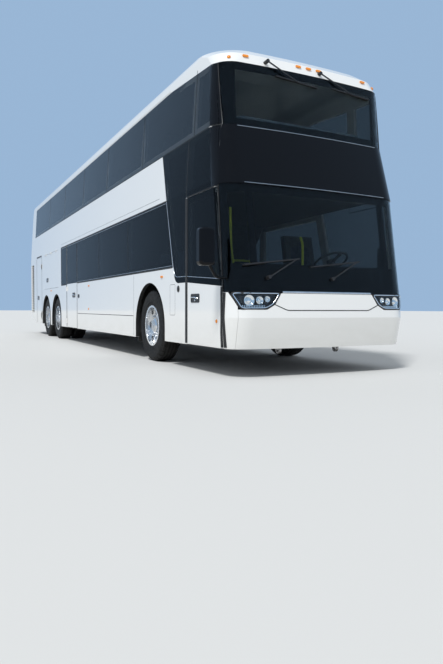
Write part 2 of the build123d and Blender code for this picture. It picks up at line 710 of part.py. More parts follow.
def front_band(low_z, high_z, gap=0.0):
    """Outline, seen from the side, of the nose between two heights and ahead of the front seam."""
    points = [(FAR_X, low_z), (FAR_X, high_z), (seam_x(high_z) + gap, high_z)]
    if low_z < FRONT_SEAM_KNEE_Z < high_z:
        points.append((FRONT_SEAM_X + gap, FRONT_SEAM_KNEE_Z))
    points.append((seam_x(low_z) + gap, low_z))
    return points


def window(half_width, low_z, high_z, inner_y=None):
    """Corner points (y, z) of an opening across the nose, or of one corner of it."""
    if inner_y is None:
        inner_y = -half_width
    return ((inner_y, low_z), (half_width, low_z), (half_width, high_z), (inner_y, high_z))


def mirrored(points):
    """Points (y, z) on the other side."""
    return [(-y, z) for y, z in points]


# Front frame behind the screens, with the carrier bar of the bumper and lamps
SCREEN_SILL_Z = LAMP_TOP_Z + 10.0
screen_prism = span_prism(front_band(SCREEN_SILL_Z, SCREEN_TOP_Z - half_seam, half_seam))
belt_prism = span_prism(front_band(SCREEN_TOP_Z + half_seam, BELT_TOP_Z - half_seam, half_seam))
upper_screen_prism = span_prism(front_band(BELT_TOP_Z + half_seam, ROOF_FRONT_Z - half_seam, half_seam))
corner_window = window(CORNER_WINDOW[1], *SCREEN_CLEAR[1:], CORNER_WINDOW[0])
front_openings = [end_prism(window(*SCREEN_CLEAR), 1), end_prism(corner_window, 1),
                  end_prism(mirrored(corner_window), 1), end_prism(window(*UPPER_SCREEN_CLEAR), 1)]
frame = cut(shell(span_prism(front_band(LAMP_TOP_Z, ROOF_FRONT_Z))),
            [rebate(screen_prism), rebate(belt_prism), rebate(upper_screen_prism)] + front_openings)
carrier = cut(common(INNER, span_prism(front_band(*CARRIER_Z, CARRIER_SET))), [CARRIER_INNER])
write(joined([frame, carrier]), "front_frame")
write(joined([skin(screen_prism), skin(upper_screen_prism)]), "front_screens")
write(skin(belt_prism, PROUD_LAYER), "front_belt_panel")

# Lower front: bumper, panel between the lamps, lamps and corner panels
kink_y, kink_z = LAMP_KINK
centre_y, centre_z = CENTRE_FOOT
lamp_high = LAMP_TOP_Z - half_seam
lamp = [(LAMP_TOP_Y[0], lamp_high), (LAMP_TOP_Y[1], lamp_high), (LAMP_FOOT_Y[1], LAMP_FOOT_Z),
        (LAMP_FOOT_Y[0], LAMP_FOOT_Z), (kink_y, kink_z)]
centre_half = [(LAMP_TOP_Y[0] - 2 * LAMP_GAP, lamp_high - LAMP_GAP), (kink_y - 3 * LAMP_GAP, kink_z),
               CENTRE_FOOT]
centre = [*centre_half, *reversed(mirrored(centre_half))]
bumper_half = [(BUMPER_Y, LOW), (BUMPER_Y, LAMP_FOOT_Z - SEAM), (LAMP_FOOT_Y[0] - LAMP_GAP, LAMP_FOOT_Z - SEAM),
               (kink_y - LAMP_GAP, kink_z - SEAM), (centre_y, centre_z - SEAM)]
bumper = [*bumper_half, *reversed(mirrored(bumper_half))]
nose_low = span_prism(front_band(LOW, LAMP_TOP_Z))
centre_corners = [(side * centre_y, centre_z) for side in (-1, 1)]
write(shell(end_prism(bumper, 1, CENTRE_CORNER, centre_corners)), "bumper_front")


def lamp_prism(points, side):
    """A prism through the nose with a headlamp's outline, its lower corners rounded."""
    sided = [(side * y, z) for y, z in points]
    return end_prism(sided, 1, LAMP_CORNER, sided[2:4])


lamps = joined([lamp_prism(lamp, side) for side in (-1, 1)])
write(common(shell(lamps), nose_low), "headlamps")
lamp_holes = [lamp_prism(grown(lamp), side) for side in (-1, 1)]
middle = end_prism(window(BUMPER_Y + half_seam, LOW - 1, LAMP_TOP_Z + 1), 1)
corner_panels = cut(shell(nose_low), [*lamp_holes, middle])
centre_panel = shell(end_prism(centre, 1, CENTRE_CORNER, centre_corners))
write(joined([corner_panels, centre_panel]), "front_lower_panels")

# Tail: wall, window, engine lid, bumper and lamps
lid_y, lid_low, lid_high = ENGINE_LID
tail_region = ((BACK_X, TAIL_BUMPER_Z + half_seam), (REAR_SEAM_X, TAIL_BUMPER_Z + half_seam),
               (REAR_SEAM_X, ROOF_SIDE_Z), (BACK_X, ROOF_SIDE_Z))
lid_outline = window(lid_y, lid_low, lid_high)
rear_glass = end_prism(window(*REAR_WINDOW), -1)
clear_y, clear_low, clear_high = REAR_WINDOW
rear_clear = window(clear_y - GLASS_MARGIN, clear_low + GLASS_MARGIN, clear_high - GLASS_MARGIN)
lamp_low_y, lamp_high_y, lamp_low_z, lamp_high_z = TAIL_LAMP
tail_lamp = window(lamp_high_y, lamp_low_z, lamp_high_z, lamp_low_y)
lamp_hole = window(lamp_high_y + FIT, lamp_low_z - FIT, lamp_high_z + FIT, lamp_low_y - FIT)
lid_axis = (TAIL_X - HINGE_STAND_OFF, 0, lid_high - half_seam)
lid_fixed, lid_turning = hinge_row(lid_axis, (0, 0, -1), (0, 1, 0), LID_HINGES)
rear_wall = cut(shell(span_prism(tail_region)),
                [rebate(rear_glass), end_prism(rear_clear, -1), end_prism(lid_outline, -1),
                 end_prism(lamp_hole, -1), end_prism(mirrored(lamp_hole), -1)])
write(joined([rear_wall, *lid_fixed]), "rear_wall")
write(skin(rear_glass), "rear_window")
rear_lamps = shell(joined([end_prism(tail_lamp, -1), end_prism(mirrored(tail_lamp), -1)]))
lid = shell(end_prism(window(lid_y - SEAM, lid_low + SEAM, lid_high - SEAM), -1))
write(joined([lid, *lid_turning]), "engine_lid")
bumper_region = ((BACK_X, LOW), (REAR_SEAM_X, LOW), (REAR_SEAM_X, TAIL_BUMPER_Z), (BACK_X, TAIL_BUMPER_Z))
write(shell(span_prism(bumper_region)), "bumper_rear")

# Floors and bulkheads, trimmed to the inside of the walls
housing_cuts = [block(FRONT_AXLE_X - FRONT_HOUSING_HALF - FIT, FRONT_AXLE_X + FRONT_HOUSING_HALF + FIT,
                      side * (FRONT_HOUSING_Y - FIT) if side > 0 else -WIDTH,
                      WIDTH if side > 0 else side * (FRONT_HOUSING_Y - FIT), 0, LOWER_FLOOR_Z + 1)
                for side in (-1, 1)]
floor_z = LOWER_FLOOR_Z - LOWER_FLOOR_DEPTH
floor_slab = block(SALOON_REAR_X - FIT, FRONT_SEAM_X - FIT, -WIDTH, WIDTH, floor_z, LOWER_FLOOR_Z)
sill_y = SIDE_Y - WALL - DOOR_CLEAR
post_seat_x, post_seat_y = post_x + POST_RADIUS + POST_SEAT, -post_y + POST_SEAT
sills = [block(rear_x, front_x, -WIDTH, -edge_y, 0, LOWER_FLOOR_Z + 1)
         for rear_x, front_x, edge_y in ((post_seat_x, NOSE_X, sill_y), (*MID_DOOR[:2], sill_y),
                                         (ENTRY_DOOR[0], post_seat_x, post_seat_y))]
write(cut(common(CABIN, floor_slab), [*housing_cuts, *sills]), "lower_floor")
stairwell = block(*STAIR_X, STAIR_Y[0] - 20, STAIR_Y[1] + 20, UPPER_FLOOR_Z - 2 * UPPER_FLOOR_DEPTH,
                  UPPER_FLOOR_Z + 1)
upper_slab = block(TAIL_X, NOSE_X, -WIDTH, WIDTH, UPPER_FLOOR_Z - UPPER_FLOOR_DEPTH, UPPER_FLOOR_Z)
write(cut(common(CABIN, upper_slab), [stairwell]), "upper_floor")
under_floor = UPPER_FLOOR_Z - UPPER_FLOOR_DEPTH
hold_rear, hold_front = REAR_HOUSING_X
hold = [block(hold_rear, hold_front, -WIDTH, WIDTH, HOLD_FLOOR_Z - HOLD_FLOOR_DEPTH, HOLD_FLOOR_Z),
        block(hold_rear, hold_rear + PLATE, -WIDTH, WIDTH, HOLD_FLOOR_Z + FIT, under_floor - FIT),
        block(hold_front - PLATE, hold_front, -WIDTH, WIDTH, HOLD_FLOOR_Z + FIT, under_floor - FIT)]
hold.append(block(SALOON_REAR_X, SALOON_REAR_X + PLATE, -WIDTH, WIDTH, LOWER_FLOOR_Z + FIT, under_floor - FIT))
write(common(CABIN, joined(hold)), "bulkheads")


def housing(x0, x1, inner_y, top_z, side):
    """A wheel housing: a box open below and towards the arch."""
    outer_y = SIDE_Y - WALL - FIT
    low, high = sorted((side * inner_y, side * outer_y))
    cut_low, cut_high = sorted((side * (inner_y + HOUSING_PLATE), side * WIDTH))
    box = block(x0, x1, low, high, RAIL_LOW_Z[1], top_z)
    hollow = block(x0 + HOUSING_PLATE, x1 - HOUSING_PLATE, cut_low, cut_high, 0, top_z - HOUSING_PLATE)
    slots = [block(axle_x - AXLE_SLOT, axle_x + AXLE_SLOT, -WIDTH, WIDTH, 0, AXLE_Z + AXLE_SLOT)
             for axle_x in (DRIVE_AXLE_X, TAG_AXLE_X)]
    return cut(box, [hollow, *slots])


housings = []
for side in (-1, 1):
    housings.append(housing(FRONT_AXLE_X - FRONT_HOUSING_HALF, FRONT_AXLE_X + FRONT_HOUSING_HALF,
                            FRONT_HOUSING_Y, FRONT_HOUSING_TOP_Z, side))
    housings.append(housing(*REAR_HOUSING_X, REAR_HOUSING_Y, HOLD_FLOOR_Z - HOLD_FLOOR_DEPTH, side))
write(joined(housings), "wheel_housings")

# Chassis: a low frame under the saloon, bolted to a frame that rises over the rear axles
low_rails, high_rails = [], []
for side in (-1, 1):
    low, high = sorted((side * RAIL_Y[0], side * RAIL_Y[1]))
    low_rails.append(block(RAIL_RISE_X[1] + FIT, RAIL_FRONT_X, low, high, *RAIL_LOW_Z))
    high_rails.append(block(*RAIL_RISE_X, low, high, RAIL_LOW_Z[0], RAIL_HIGH_Z[1]))
    high_rails.append(block(RAIL_REAR_X, RAIL_RISE_X[1], low, high, *RAIL_HIGH_Z))
beam_y = SIDE_Y - WALL - FIT
for x in LOW_BEAMS_X:
    low_rails.append(block(x - BEAM_HALF, x + BEAM_HALF, -beam_y, beam_y, *RAIL_LOW_Z))
low_rails.append(block(RAIL_FRONT_X - 2 * BEAM_HALF, RAIL_FRONT_X, -sill_y, sill_y, *RAIL_LOW_Z))
for x in (REAR_HOUSING_X[0] - BEAM_HALF - HOUSING_GAP, RAIL_REAR_X + BEAM_HALF):
    high_rails.append(block(x - BEAM_HALF, x + BEAM_HALF, -beam_y, beam_y, *RAIL_HIGH_Z))
high_rails.append(block(*RAIL_RISE_X, -RAIL_Y[1], RAIL_Y[1], *RAIL_LOW_Z))
write(joined(low_rails), "chassis_frame")
write(joined(high_rails), "rear_frame")

# Engine
rear_x, front_x, half_y, low_z, high_z = ENGINE
with BuildPart() as engine:
    add(block(rear_x, front_x, -half_y, half_y, low_z, high_z))
    for x in (rear_x + 250, front_x - 250):
        add(block(x - 60, x + 60, -RAIL_Y[1], RAIL_Y[1], RAIL_HIGH_Z[1], RAIL_HIGH_Z[1] + 60))
write(engine.part, "engine")

# Front axle: a drop-centre beam with forked ends and kingpins
with BuildPart() as front_axle:
    add(block(FRONT_AXLE_X - BEAM_X, FRONT_AXLE_X + BEAM_X, -BEAM_RISE_Y[0], BEAM_RISE_Y[0], *BEAM_Z))
    for side in (-1, 1):
        low_y, high_y = BEAM_RISE_Y
        with BuildSketch(Plane.YZ.offset(FRONT_AXLE_X - BEAM_X)):
            with BuildLine():
                Polyline((side * (low_y - 40), BEAM_Z[0]), (side * low_y, BEAM_Z[0]),
                         (side * (high_y + 60), AXLE_Z - KNUCKLE_HALF - YOKE),
                         (side * (high_y + 60), AXLE_Z + KNUCKLE_HALF + YOKE),
                         (side * (high_y - 20), AXLE_Z + KNUCKLE_HALF + YOKE),
                         (side * (high_y - 20), AXLE_Z - KNUCKLE_HALF),
                         (side * (low_y - 40), BEAM_Z[1]), close=True)
            make_face()
        extrude(amount=2 * BEAM_X)
        for z in (AXLE_Z - KNUCKLE_HALF - YOKE, AXLE_Z + KNUCKLE_HALF):
            low, high = sorted((side * high_y, side * KINGPIN_Y))
            add(block(FRONT_AXLE_X - BEAM_X, FRONT_AXLE_X + BEAM_X, low, high, z, z + YOKE))
            with BuildSketch(Plane.XY.offset(z)):
                with Locations((FRONT_AXLE_X, side * KINGPIN_Y)):
                    Circle(BEAM_X)
            extrude(amount=YOKE)
        with BuildSketch(Plane.XY.offset(AXLE_Z - KNUCKLE_HALF - YOKE / 2)):
            with Locations((FRONT_AXLE_X, side * KINGPIN_Y)):
                Circle(KINGPIN_RADIUS)
        extrude(amount=2 * KNUCKLE_HALF + YOKE)
        low, high = sorted((side * RAIL_Y[0], side * RAIL_Y[1]))
        add(block(FRONT_AXLE_X - BEAM_X, FRONT_AXLE_X + BEAM_X, low, high, BEAM_Z[1], RAIL_LOW_Z[0]))
write(front_axle.part, "front_axle")

# Steering knuckles, which turn on the kingpins and carry the front wheels
for side, name in ((-1, "right"), (1, "left")):
    with BuildPart() as knuckle:
        with BuildSketch(Plane.XY.offset(AXLE_Z - KNUCKLE_HALF + FIT)):
            with Locations((FRONT_AXLE_X, side * KINGPIN_Y)):
                Circle(KINGPIN_BOSS)
        extrude(amount=2 * (KNUCKLE_HALF - FIT))
        with BuildSketch(Plane.XZ.offset(-side * KINGPIN_Y)):
            with Locations((FRONT_AXLE_X, AXLE_Z)):
                Circle(SPINDLE_RADIUS)
        extrude(amount=-side * (SPINDLE_END_Y - KINGPIN_Y))
        with BuildSketch(Plane.XY.offset(AXLE_Z - KNUCKLE_HALF)):
            with Locations((FRONT_AXLE_X, side * KINGPIN_Y)):
                Circle(KINGPIN_RADIUS + FIT)
        extrude(amount=2 * KNUCKLE_HALF, mode=Mode.SUBTRACT)
    write(knuckle.part, f"knuckle_{name}")

# Rear axles, each on spring seats under the high rails
rear_axles = []
for name, axle_x, drum_y in (("drive_axle", DRIVE_AXLE_X, TWIN_Y), ("tag_axle", TAG_AXLE_X, WHEEL_Y)):
    with BuildPart() as axle:
        for side in (-1, 1):
            with BuildSketch(Plane.XZ.offset(0)):
                with Locations((axle_x, AXLE_Z)):
                    Circle(AXLE_TUBE)
            extrude(amount=-side * (drum_y - TYRE_WIDTH / 2 - 20))
            with BuildSketch(Plane.XZ.offset(0)):
                with Locations((axle_x, AXLE_Z)):
                    Circle(SPINDLE_RADIUS)
            extrude(amount=-side * SPINDLE_END_Y)
            middle_y = side * (RAIL_Y[0] + RAIL_Y[1]) / 2
            with BuildSketch(Plane.XY.offset(AXLE_Z)):
                with Locations((axle_x, middle_y)):
                    Rectangle(130, 110)
            extrude(amount=AXLE_TUBE + 30)
            with BuildSketch(Plane.XY.offset(AXLE_Z + AXLE_TUBE + 30)):
                with Locations((axle_x, middle_y)):
                    Circle(60)
            extrude(amount=RAIL_HIGH_Z[0] - AXLE_Z - AXLE_TUBE - 30)
        if name == "drive_axle":
            with BuildSketch(Plane.XZ.offset(-120)):
                with Locations((axle_x, AXLE_Z)):
                    Circle(DIFFERENTIAL)
            extrude(amount=240)
    rear_axles.append(axle.part)
write(joined(rear_axles), "rear_axles")


def tyre_profile(middle_y):
    """Section of a tyre, in (y, height above the axle)."""
    tread_half, wall_half, bead_half = TREAD_HALF, TYRE_WIDTH / 2, TYRE_WIDTH / 2 - BEAD_INSET
    flange = TYRE_BEAD_RADIUS + RIM_FLANGE + 4
    belly = (flange + TYRE_RADIUS) / 2
    outline = [(bead_half, TYRE_BEAD_RADIUS), (bead_half, flange), (wall_half, belly),
               (wall_half - SHOULDER_INSET, TYRE_RADIUS - SHOULDER_DROP), (tread_half, TYRE_RADIUS)]
    with BuildSketch(Plane.YZ) as profile:
        with BuildLine():
            Polyline(*[(middle_y + y, z) for y, z in outline],
                     *[(middle_y - y, z) for y, z in reversed(outline)], close=True)
        make_face()
    return profile.sketch


def wheel_tyres(axle_x, side, middles):
    """Tyres of one wheel, turned about the axle."""
    with BuildPart() as tyres:
        for middle_y in middles:
            add(tyre_profile(side * middle_y))
            revolve(axis=Axis.Y)
    return Location((axle_x, 0, AXLE_Z)) * tyres.part


def wheel_rim(axle_x, side, middles, convex):
    """Rims of one wheel: barrels, a holed disc and the hub with its bearing bore."""
    inner_radius = TYRE_BEAD_RADIUS - FIT
    disc_y = side * (WHEEL_Y + 60) if convex else side * (WHEEL_Y - 30)
    with BuildPart() as rim:
        for middle_y in middles:
            half = TYRE_WIDTH / 2 - BEAD_INSET
            with BuildSketch(Plane.YZ):
                with BuildLine():
                    centre = side * middle_y
                    Polyline((centre - half - 14, inner_radius - 16), (centre + half + 14, inner_radius - 16),
                             (centre + half + 14, inner_radius + RIM_FLANGE),
                             (centre + half + FIT, inner_radius + RIM_FLANGE),
                             (centre + half + FIT, inner_radius), (centre - half - FIT, inner_radius),
                             (centre - half - FIT, inner_radius + RIM_FLANGE),
                             (centre - half - 14, inner_radius + RIM_FLANGE), close=True)
                make_face()
            revolve(axis=Axis.Y)
        with BuildSketch(Plane.YZ):
            with BuildLine():
                Polyline((disc_y, HUB_RADIUS - 30), (disc_y, HUB_RADIUS + 60),
                         (disc_y - side * 45, inner_radius - 10), (disc_y - side * 60, inner_radius - 10),
                         (disc_y - side * 16, HUB_RADIUS + 60), (disc_y - side * 16, HUB_RADIUS - 30),
                         close=True)
            make_face()
        revolve(axis=Axis.Y)
        hub_inner_y = KINGPIN_Y + KINGPIN_BOSS + 8 if len(middles) == 1 else TWIN_Y - TYRE_WIDTH / 2 - 10
        inner_y = side * hub_inner_y
        with BuildSketch(Plane.YZ):
            with BuildLine():
                cap_inner, cap_outer = side * (SPINDLE_END_Y + 3), side * (SPINDLE_END_Y + 22)
                Polyline((inner_y, SPINDLE_RADIUS + FIT), (inner_y, HUB_RADIUS),
                         (disc_y + side * 40, HUB_RADIUS), (cap_outer, HUB_RADIUS - 20), (cap_outer, 0),
                         (cap_inner, 0), (cap_inner, SPINDLE_RADIUS + FIT), close=True)
            make_face()
        revolve(axis=Axis.Y)
        if len(middles) == 2:
            inner_disc = side * (TWIN_Y + 90)
            with BuildSketch(Plane.YZ):
                with BuildLine():
                    back = inner_disc - side * 16
                    Polyline((inner_disc, HUB_RADIUS - 5), (inner_disc, inner_radius - 10),
                             (back, inner_radius - 10), (back, HUB_RADIUS - 5), close=True)
                make_face()
            revolve(axis=Axis.Y)
        with BuildSketch(Plane.XZ.offset(-(disc_y + side * 60))):
            with PolarLocations(HAND_HOLE_CIRCLE, HAND_HOLES):
                Circle(HAND_HOLE)
        extrude(amount=side * 160, mode=Mode.SUBTRACT)
    return Location((axle_x, 0, AXLE_Z)) * rim.part


for side, name in ((-1, "right"), (1, "left")):
    for place, axle_x, middles, convex in (("front", FRONT_AXLE_X, (WHEEL_Y,), True),
                                           ("drive", DRIVE_AXLE_X, (TWIN_Y, WHEEL_Y), False),
                                           ("tag", TAG_AXLE_X, (WHEEL_Y,), True)):
        write(wheel_tyres(axle_x, side, middles), f"tyre_{place}_{name}")
        write(wheel_rim(axle_x, side, middles, convex), f"rim_{place}_{name}")

# Seats: pairs each side of the aisle
def seat(x, low_y, high_y, floor):
    """A seat with its frame, facing the nose, between two places across the bus."""
    with BuildPart() as frame:
        with BuildSketch(Plane.XZ.offset(-high_y)):
            with BuildLine():
                Polyline((80, 0), (300, 0), (300, 330), (440, 350), (440, 460), (50, 440), (-110, 1080),
                         (-205, 1070), (-60, 340), (80, 330), close=True)
            make_face()
        extrude(amount=high_y - low_y)
    return Location((x, 0, floor)) * frame.part


def seat_pair(x, side, floor):
    """Two seats side by side on one frame, at a place along one side."""
    low_y, high_y = sorted((side * SEAT_Y[0], side * SEAT_Y[1]))
    return seat(x, low_y, high_y, floor)


upper_seats = []
for row in range(UPPER_ROWS):
    x = UPPER_SEATS_X - row * SEAT_PITCH
    for side in (-1, 1):
        over_stairs = side > 0 and STAIR_X[0] - 500 < x < STAIR_X[1] + 250
        if not over_stairs:
            upper_seats.append(seat_pair(x, side, UPPER_FLOOR_Z))
write(joined(upper_seats), "upper_seats")
lower_seats = []
for side, first_x in LOWER_SEATS_X:
    for row in range(LOWER_ROWS):
        lower_seats.append(seat_pair(first_x + row * SEAT_PITCH, side, LOWER_FLOOR_Z))
write(joined(lower_seats), "lower_seats")

# Stairs to the upper deck, on the left behind the front wheel
rise = (UPPER_FLOOR_Z - LOWER_FLOOR_Z) / STAIR_STEPS
run = (STAIR_X[1] - STAIR_X[0]) / STAIR_STEPS
steps = [(STAIR_X[0], LOWER_FLOOR_Z)]
for step in range(STAIR_STEPS):
    steps.append((STAIR_X[0] + step * run, LOWER_FLOOR_Z + (step + 1) * rise))
    steps.append((STAIR_X[0] + (step + 1) * run, LOWER_FLOOR_Z + (step + 1) * rise))
steps += [(STAIR_X[1], UPPER_FLOOR_Z - UPPER_FLOOR_DEPTH), (STAIR_X[0] + run, LOWER_FLOOR_Z)]
with BuildPart() as stairs:
    with BuildSketch(Plane.XZ.offset(-STAIR_Y[0])):
        with BuildLine():
            Polyline(*steps, close=True)
        make_face()
    extrude(amount=-(STAIR_Y[1] - STAIR_Y[0]))
write(stairs.part, "stairs")

# Driver's place: platform, seat, dashboard and steering wheel
platform = block(FRONT_AXLE_X + FRONT_HOUSING_HALF + FIT, PLATFORM_FRONT_X, PLATFORM_INNER_Y,
                 SIDE_Y - WALL - FIT, LOWER_FLOOR_Z, CAB_FLOOR_Z)
dash = common(CARRIER_INNER, block(DASH_X, NOSE_X, -DASH_Y, DASH_Y, LOWER_FLOOR_Z, DASH_Z))
driver_chair = seat(DRIVER_X, DRIVER_Y - DRIVER_SEAT_HALF, DRIVER_Y + DRIVER_SEAT_HALF, CAB_FLOOR_Z)
with BuildPart() as steering:
    with BuildSketch(Plane.XZ) as rim_section:
        with Locations((STEERING_RADIUS, 0)):
            Circle(16)
    revolve(axis=Axis.Z)
    with BuildSketch(Plane.XY.offset(-30)):
        Circle(55)
    extrude(amount=45)
    with BuildSketch(Plane.XY.offset(-30)):
        Rectangle(2 * STEERING_RADIUS, 40)
    extrude(amount=22)
    with BuildSketch(Plane.XY.offset(-STEERING_COLUMN)):
        Circle(35)
    extrude(amount=STEERING_COLUMN - 20)
wheel_place = Location((STEERING_X, DRIVER_Y, STEERING_Z), (0, -28, 0))
cab = joined([platform, dash, driver_chair, wheel_place * steering.part])
write(cab, "cab")

# Mirrors: a head on a cranked arm from the front corner, and one beside the driver's window
def mirror(side, arm_points, head_x, head_z, glass_only=False):
    """Arm, head and glass of one mirror. The glass faces the tail."""
    head_y = side * MIRROR_Y
    with BuildPart() as head:
        with BuildSketch(Plane.YZ.offset(head_x - MIRROR_DEPTH / 2)) as outline:
            with Locations((head_y, head_z)):
                RectangleRounded(MIRROR_WIDTH, MIRROR_HEIGHT, 45)
        extrude(amount=MIRROR_DEPTH)
        fillet(head.faces().sort_by(Axis.X)[-1].edges(), 30)
        with BuildSketch(Plane.YZ.offset(head_x - MIRROR_DEPTH / 2)):
            with Locations((head_y, head_z)):
                RectangleRounded(MIRROR_WIDTH - 24, MIRROR_HEIGHT - 24, 35)
        extrude(amount=MIRROR_GLASS + FIT, mode=Mode.SUBTRACT)
        with BuildLine() as route:
            FilletPolyline(*arm_points, radius=60)
        with BuildSketch(Plane(origin=route.line @ 0, z_dir=route.line % 0)):
            Circle(MIRROR_ARM)
        sweep()
    with BuildPart() as glass:
        with BuildSketch(Plane.YZ.offset(head_x - MIRROR_DEPTH / 2 + FIT / 2)):
            with Locations((head_y, head_z)):
                RectangleRounded(MIRROR_WIDTH - 24 - 2 * FIT, MIRROR_HEIGHT - 24 - 2 * FIT, 35 - FIT)
        extrude(amount=MIRROR_GLASS)
    return cut(head.part, [CLEAR]), glass.part


right_arm = [(6600.0, -1150.0, 1120.0), (6640.0, -1400.0, 1130.0), (MIRROR_RIGHT_X, -1530.0, 1290.0)]
left_arm = [(6420.0, 1150.0, 1110.0), (6330.0, 1450.0, 1120.0), (MIRROR_LEFT_X, 1530.0, 1290.0)]
right_head, right_glass = mirror(-1, right_arm, MIRROR_RIGHT_X, MIRROR_Z)
left_head, left_glass = mirror(1, left_arm, MIRROR_LEFT_X, MIRROR_Z)
write(joined([right_head, left_head]), "mirror_heads")
write(joined([right_glass, left_glass]), "mirror_glass")

# Wipers: a hub on the panel, a cranked arm and a blade along the screen
def nose_back(z):
    """Set-back of the nose at a height."""
    for low, high in zip(PLAN_LEVELS, PLAN_LEVELS[1:]):
        if z <= high[0]:
            return low[1] + (high[1] - low[1]) * (z - low[0]) / (high[0] - low[0])


def screen_plane(y, z):
    """Plane on the nose at a height, with its normal out of the glass and its x to the left."""
    back = nose_back(z) + NOSE_BULGE * (y / SIDE_Y) ** 2
    slope = nose_back(z + 1) - nose_back(z)
    return Plane(origin=(NOSE_X - back, y, z), x_dir=(0, 1, 0), z_dir=(1, 0, slope))


wipers = []
for hub_y, hub_z, end_y, end_z, low_y, low_z, high_y, high_z in WIPERS:
    place = screen_plane(end_y, end_z)
    hub_spot = (hub_y - end_y, hub_z - end_z)
    with BuildPart() as wiper:
        with BuildSketch(place.offset(-WIPER_FOOT)):
            with Locations(hub_spot):
                Circle(WIPER_HUB)
        extrude(amount=WIPER_FOOT + WIPER_RISE + WIPER_ARM)
        with BuildSketch(place.offset(WIPER_RISE)):
            with BuildLine():
                Polyline(hub_spot, (0, 0))
                offset(amount=WIPER_ARM / 2)
            make_face()
        extrude(amount=WIPER_ARM / 2)
        with BuildSketch(place.offset(-WIPER_RISE)):
            with BuildLine():
                Polyline((low_y - end_y, low_z - end_z), (high_y - end_y, high_z - end_z))
                offset(amount=WIPER_BLADE / 2)
            make_face()
        extrude(amount=2 * WIPER_RISE + 2)
    wipers.append(cut(wiper.part, [CLEAR]))
write(joined(wipers), "wipers")

# Signal lamps: rear clusters, and amber markers along the sides and across the roof
markers = [rear_lamps]
for side in (-1, 1):
    for x, z in SIDE_MARKERS:
        with BuildPart() as lens:
            with BuildSketch(Plane.XZ.offset(-side * (SIDE_Y - 10))):
                with Locations((x, z)):
                    SlotOverall(MARKER_LENGTH, MARKER_HEIGHT)
            extrude(amount=-side * (10 + MARKER_RISE))
        markers.append(cut(lens.part, [CLEAR]))
for y in ROOF_MARKERS:
    with BuildPart() as lens:
        with BuildSketch(Plane.YZ.offset(NOSE_X - 800)):
            with Locations((y, ROOF_MARKER_Z)):
                SlotOverall(MARKER_LENGTH, MARKER_HEIGHT)
        extrude(amount=800)
    markers.append(cut(common(lens.part, MARKER_FORM), [CLEAR]))
write(joined(markers), "signal_lamps")

# Tow eyes under the front ends of the chassis rails
eyes = []
for side in (-1, 1):
    middle_y = side * (RAIL_Y[0] + RAIL_Y[1]) / 2
    with BuildPart() as eye:
        with BuildSketch(Plane.XZ.offset(-middle_y - EYE_THICK / 2)):
            with Locations((EYE_X, RAIL_LOW_Z[0] - EYE_DROP)):
                Circle(EYE_RADIUS)
            with Locations((EYE_X, RAIL_LOW_Z[0] - EYE_DROP / 2)):
                Rectangle(2 * EYE_RADIUS, EYE_DROP)
            with Locations((EYE_X, RAIL_LOW_Z[0] - EYE_DROP)):
                Circle(EYE_BORE, mode=Mode.SUBTRACT)
        extrude(amount=EYE_THICK)
    eyes.append(eye.part)
write(joined(eyes), "tow_eyes")
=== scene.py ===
import bpy
import bmesh
from math import ceil, cos, radians, sin, tau
from mathutils import Matrix, Vector
from mathutils.bvhtree import BVHTree


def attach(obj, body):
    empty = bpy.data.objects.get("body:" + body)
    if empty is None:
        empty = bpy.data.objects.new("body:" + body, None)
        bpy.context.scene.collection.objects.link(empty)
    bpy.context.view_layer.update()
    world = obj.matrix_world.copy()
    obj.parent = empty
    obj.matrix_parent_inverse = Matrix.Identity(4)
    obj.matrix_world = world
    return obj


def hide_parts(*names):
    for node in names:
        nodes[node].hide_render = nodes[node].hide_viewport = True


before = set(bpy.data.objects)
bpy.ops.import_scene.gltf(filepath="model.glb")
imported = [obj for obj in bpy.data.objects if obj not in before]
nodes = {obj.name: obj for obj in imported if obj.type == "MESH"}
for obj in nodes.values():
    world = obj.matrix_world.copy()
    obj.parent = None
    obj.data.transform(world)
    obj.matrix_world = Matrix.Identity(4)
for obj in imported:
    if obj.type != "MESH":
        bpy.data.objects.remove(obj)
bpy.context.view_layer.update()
scene = bpy.context.scene

# Camera. It stands low beside the road, ahead of the bus and off its right front corner, and looks
# back along the side.
CAMERA_PLACE = Vector((12.38, -4.23, 0.788))
CAMERA_YAW = radians(26.824)
CAMERA_PITCH = radians(-2.351)
CAMERA_ROLL = radians(0.2076)
CAMERA_LENS = 31.5
CAMERA_SENSOR = 36.0

look = Vector((-cos(CAMERA_YAW) * cos(CAMERA_PITCH), sin(CAMERA_YAW) * cos(CAMERA_PITCH), sin(CAMERA_PITCH)))
level_right = look.cross(Vector((0, 0, 1))).normalized()
level_up = level_right.cross(look)
camera_right = cos(CAMERA_ROLL) * level_right + sin(CAMERA_ROLL) * level_up
camera_up = cos(CAMERA_ROLL) * level_up - sin(CAMERA_ROLL) * level_right
camera = bpy.data.objects.new("camera", bpy.data.cameras.new("camera"))
camera.data.lens = CAMERA_LENS
camera.data.sensor_width = CAMERA_SENSOR
turn = Matrix((camera_right, camera_up, -look)).transposed()
camera.matrix_world = Matrix.Translation(CAMERA_PLACE) @ turn.to_4x4()
scene.collection.objects.link(camera)
scene.camera = camera
scene.view_settings.view_transform = "Standard"

# Studio. A pale floor runs out to the horizon, a wide soft sun stands high over the right front
# corner, and an even pale sky fills the shade.
FLOOR_HALF = 150.0
FLOOR_COLOUR = (0.60, 0.60, 0.585)
FLOOR_ROUGHNESS = 0.9
SKY_COLOUR = (0.74, 0.79, 0.85)
SKY_STRENGTH = 0.76
SEEN_SKY_COLOUR = (0.32, 0.47, 0.67)
SEEN_SKY_STRENGTH = 1.0
SUN_STRENGTH = 2.6
SUN_SOFTNESS = radians(10)
SUN_FROM = Vector((0.45, -0.62, 1.25))


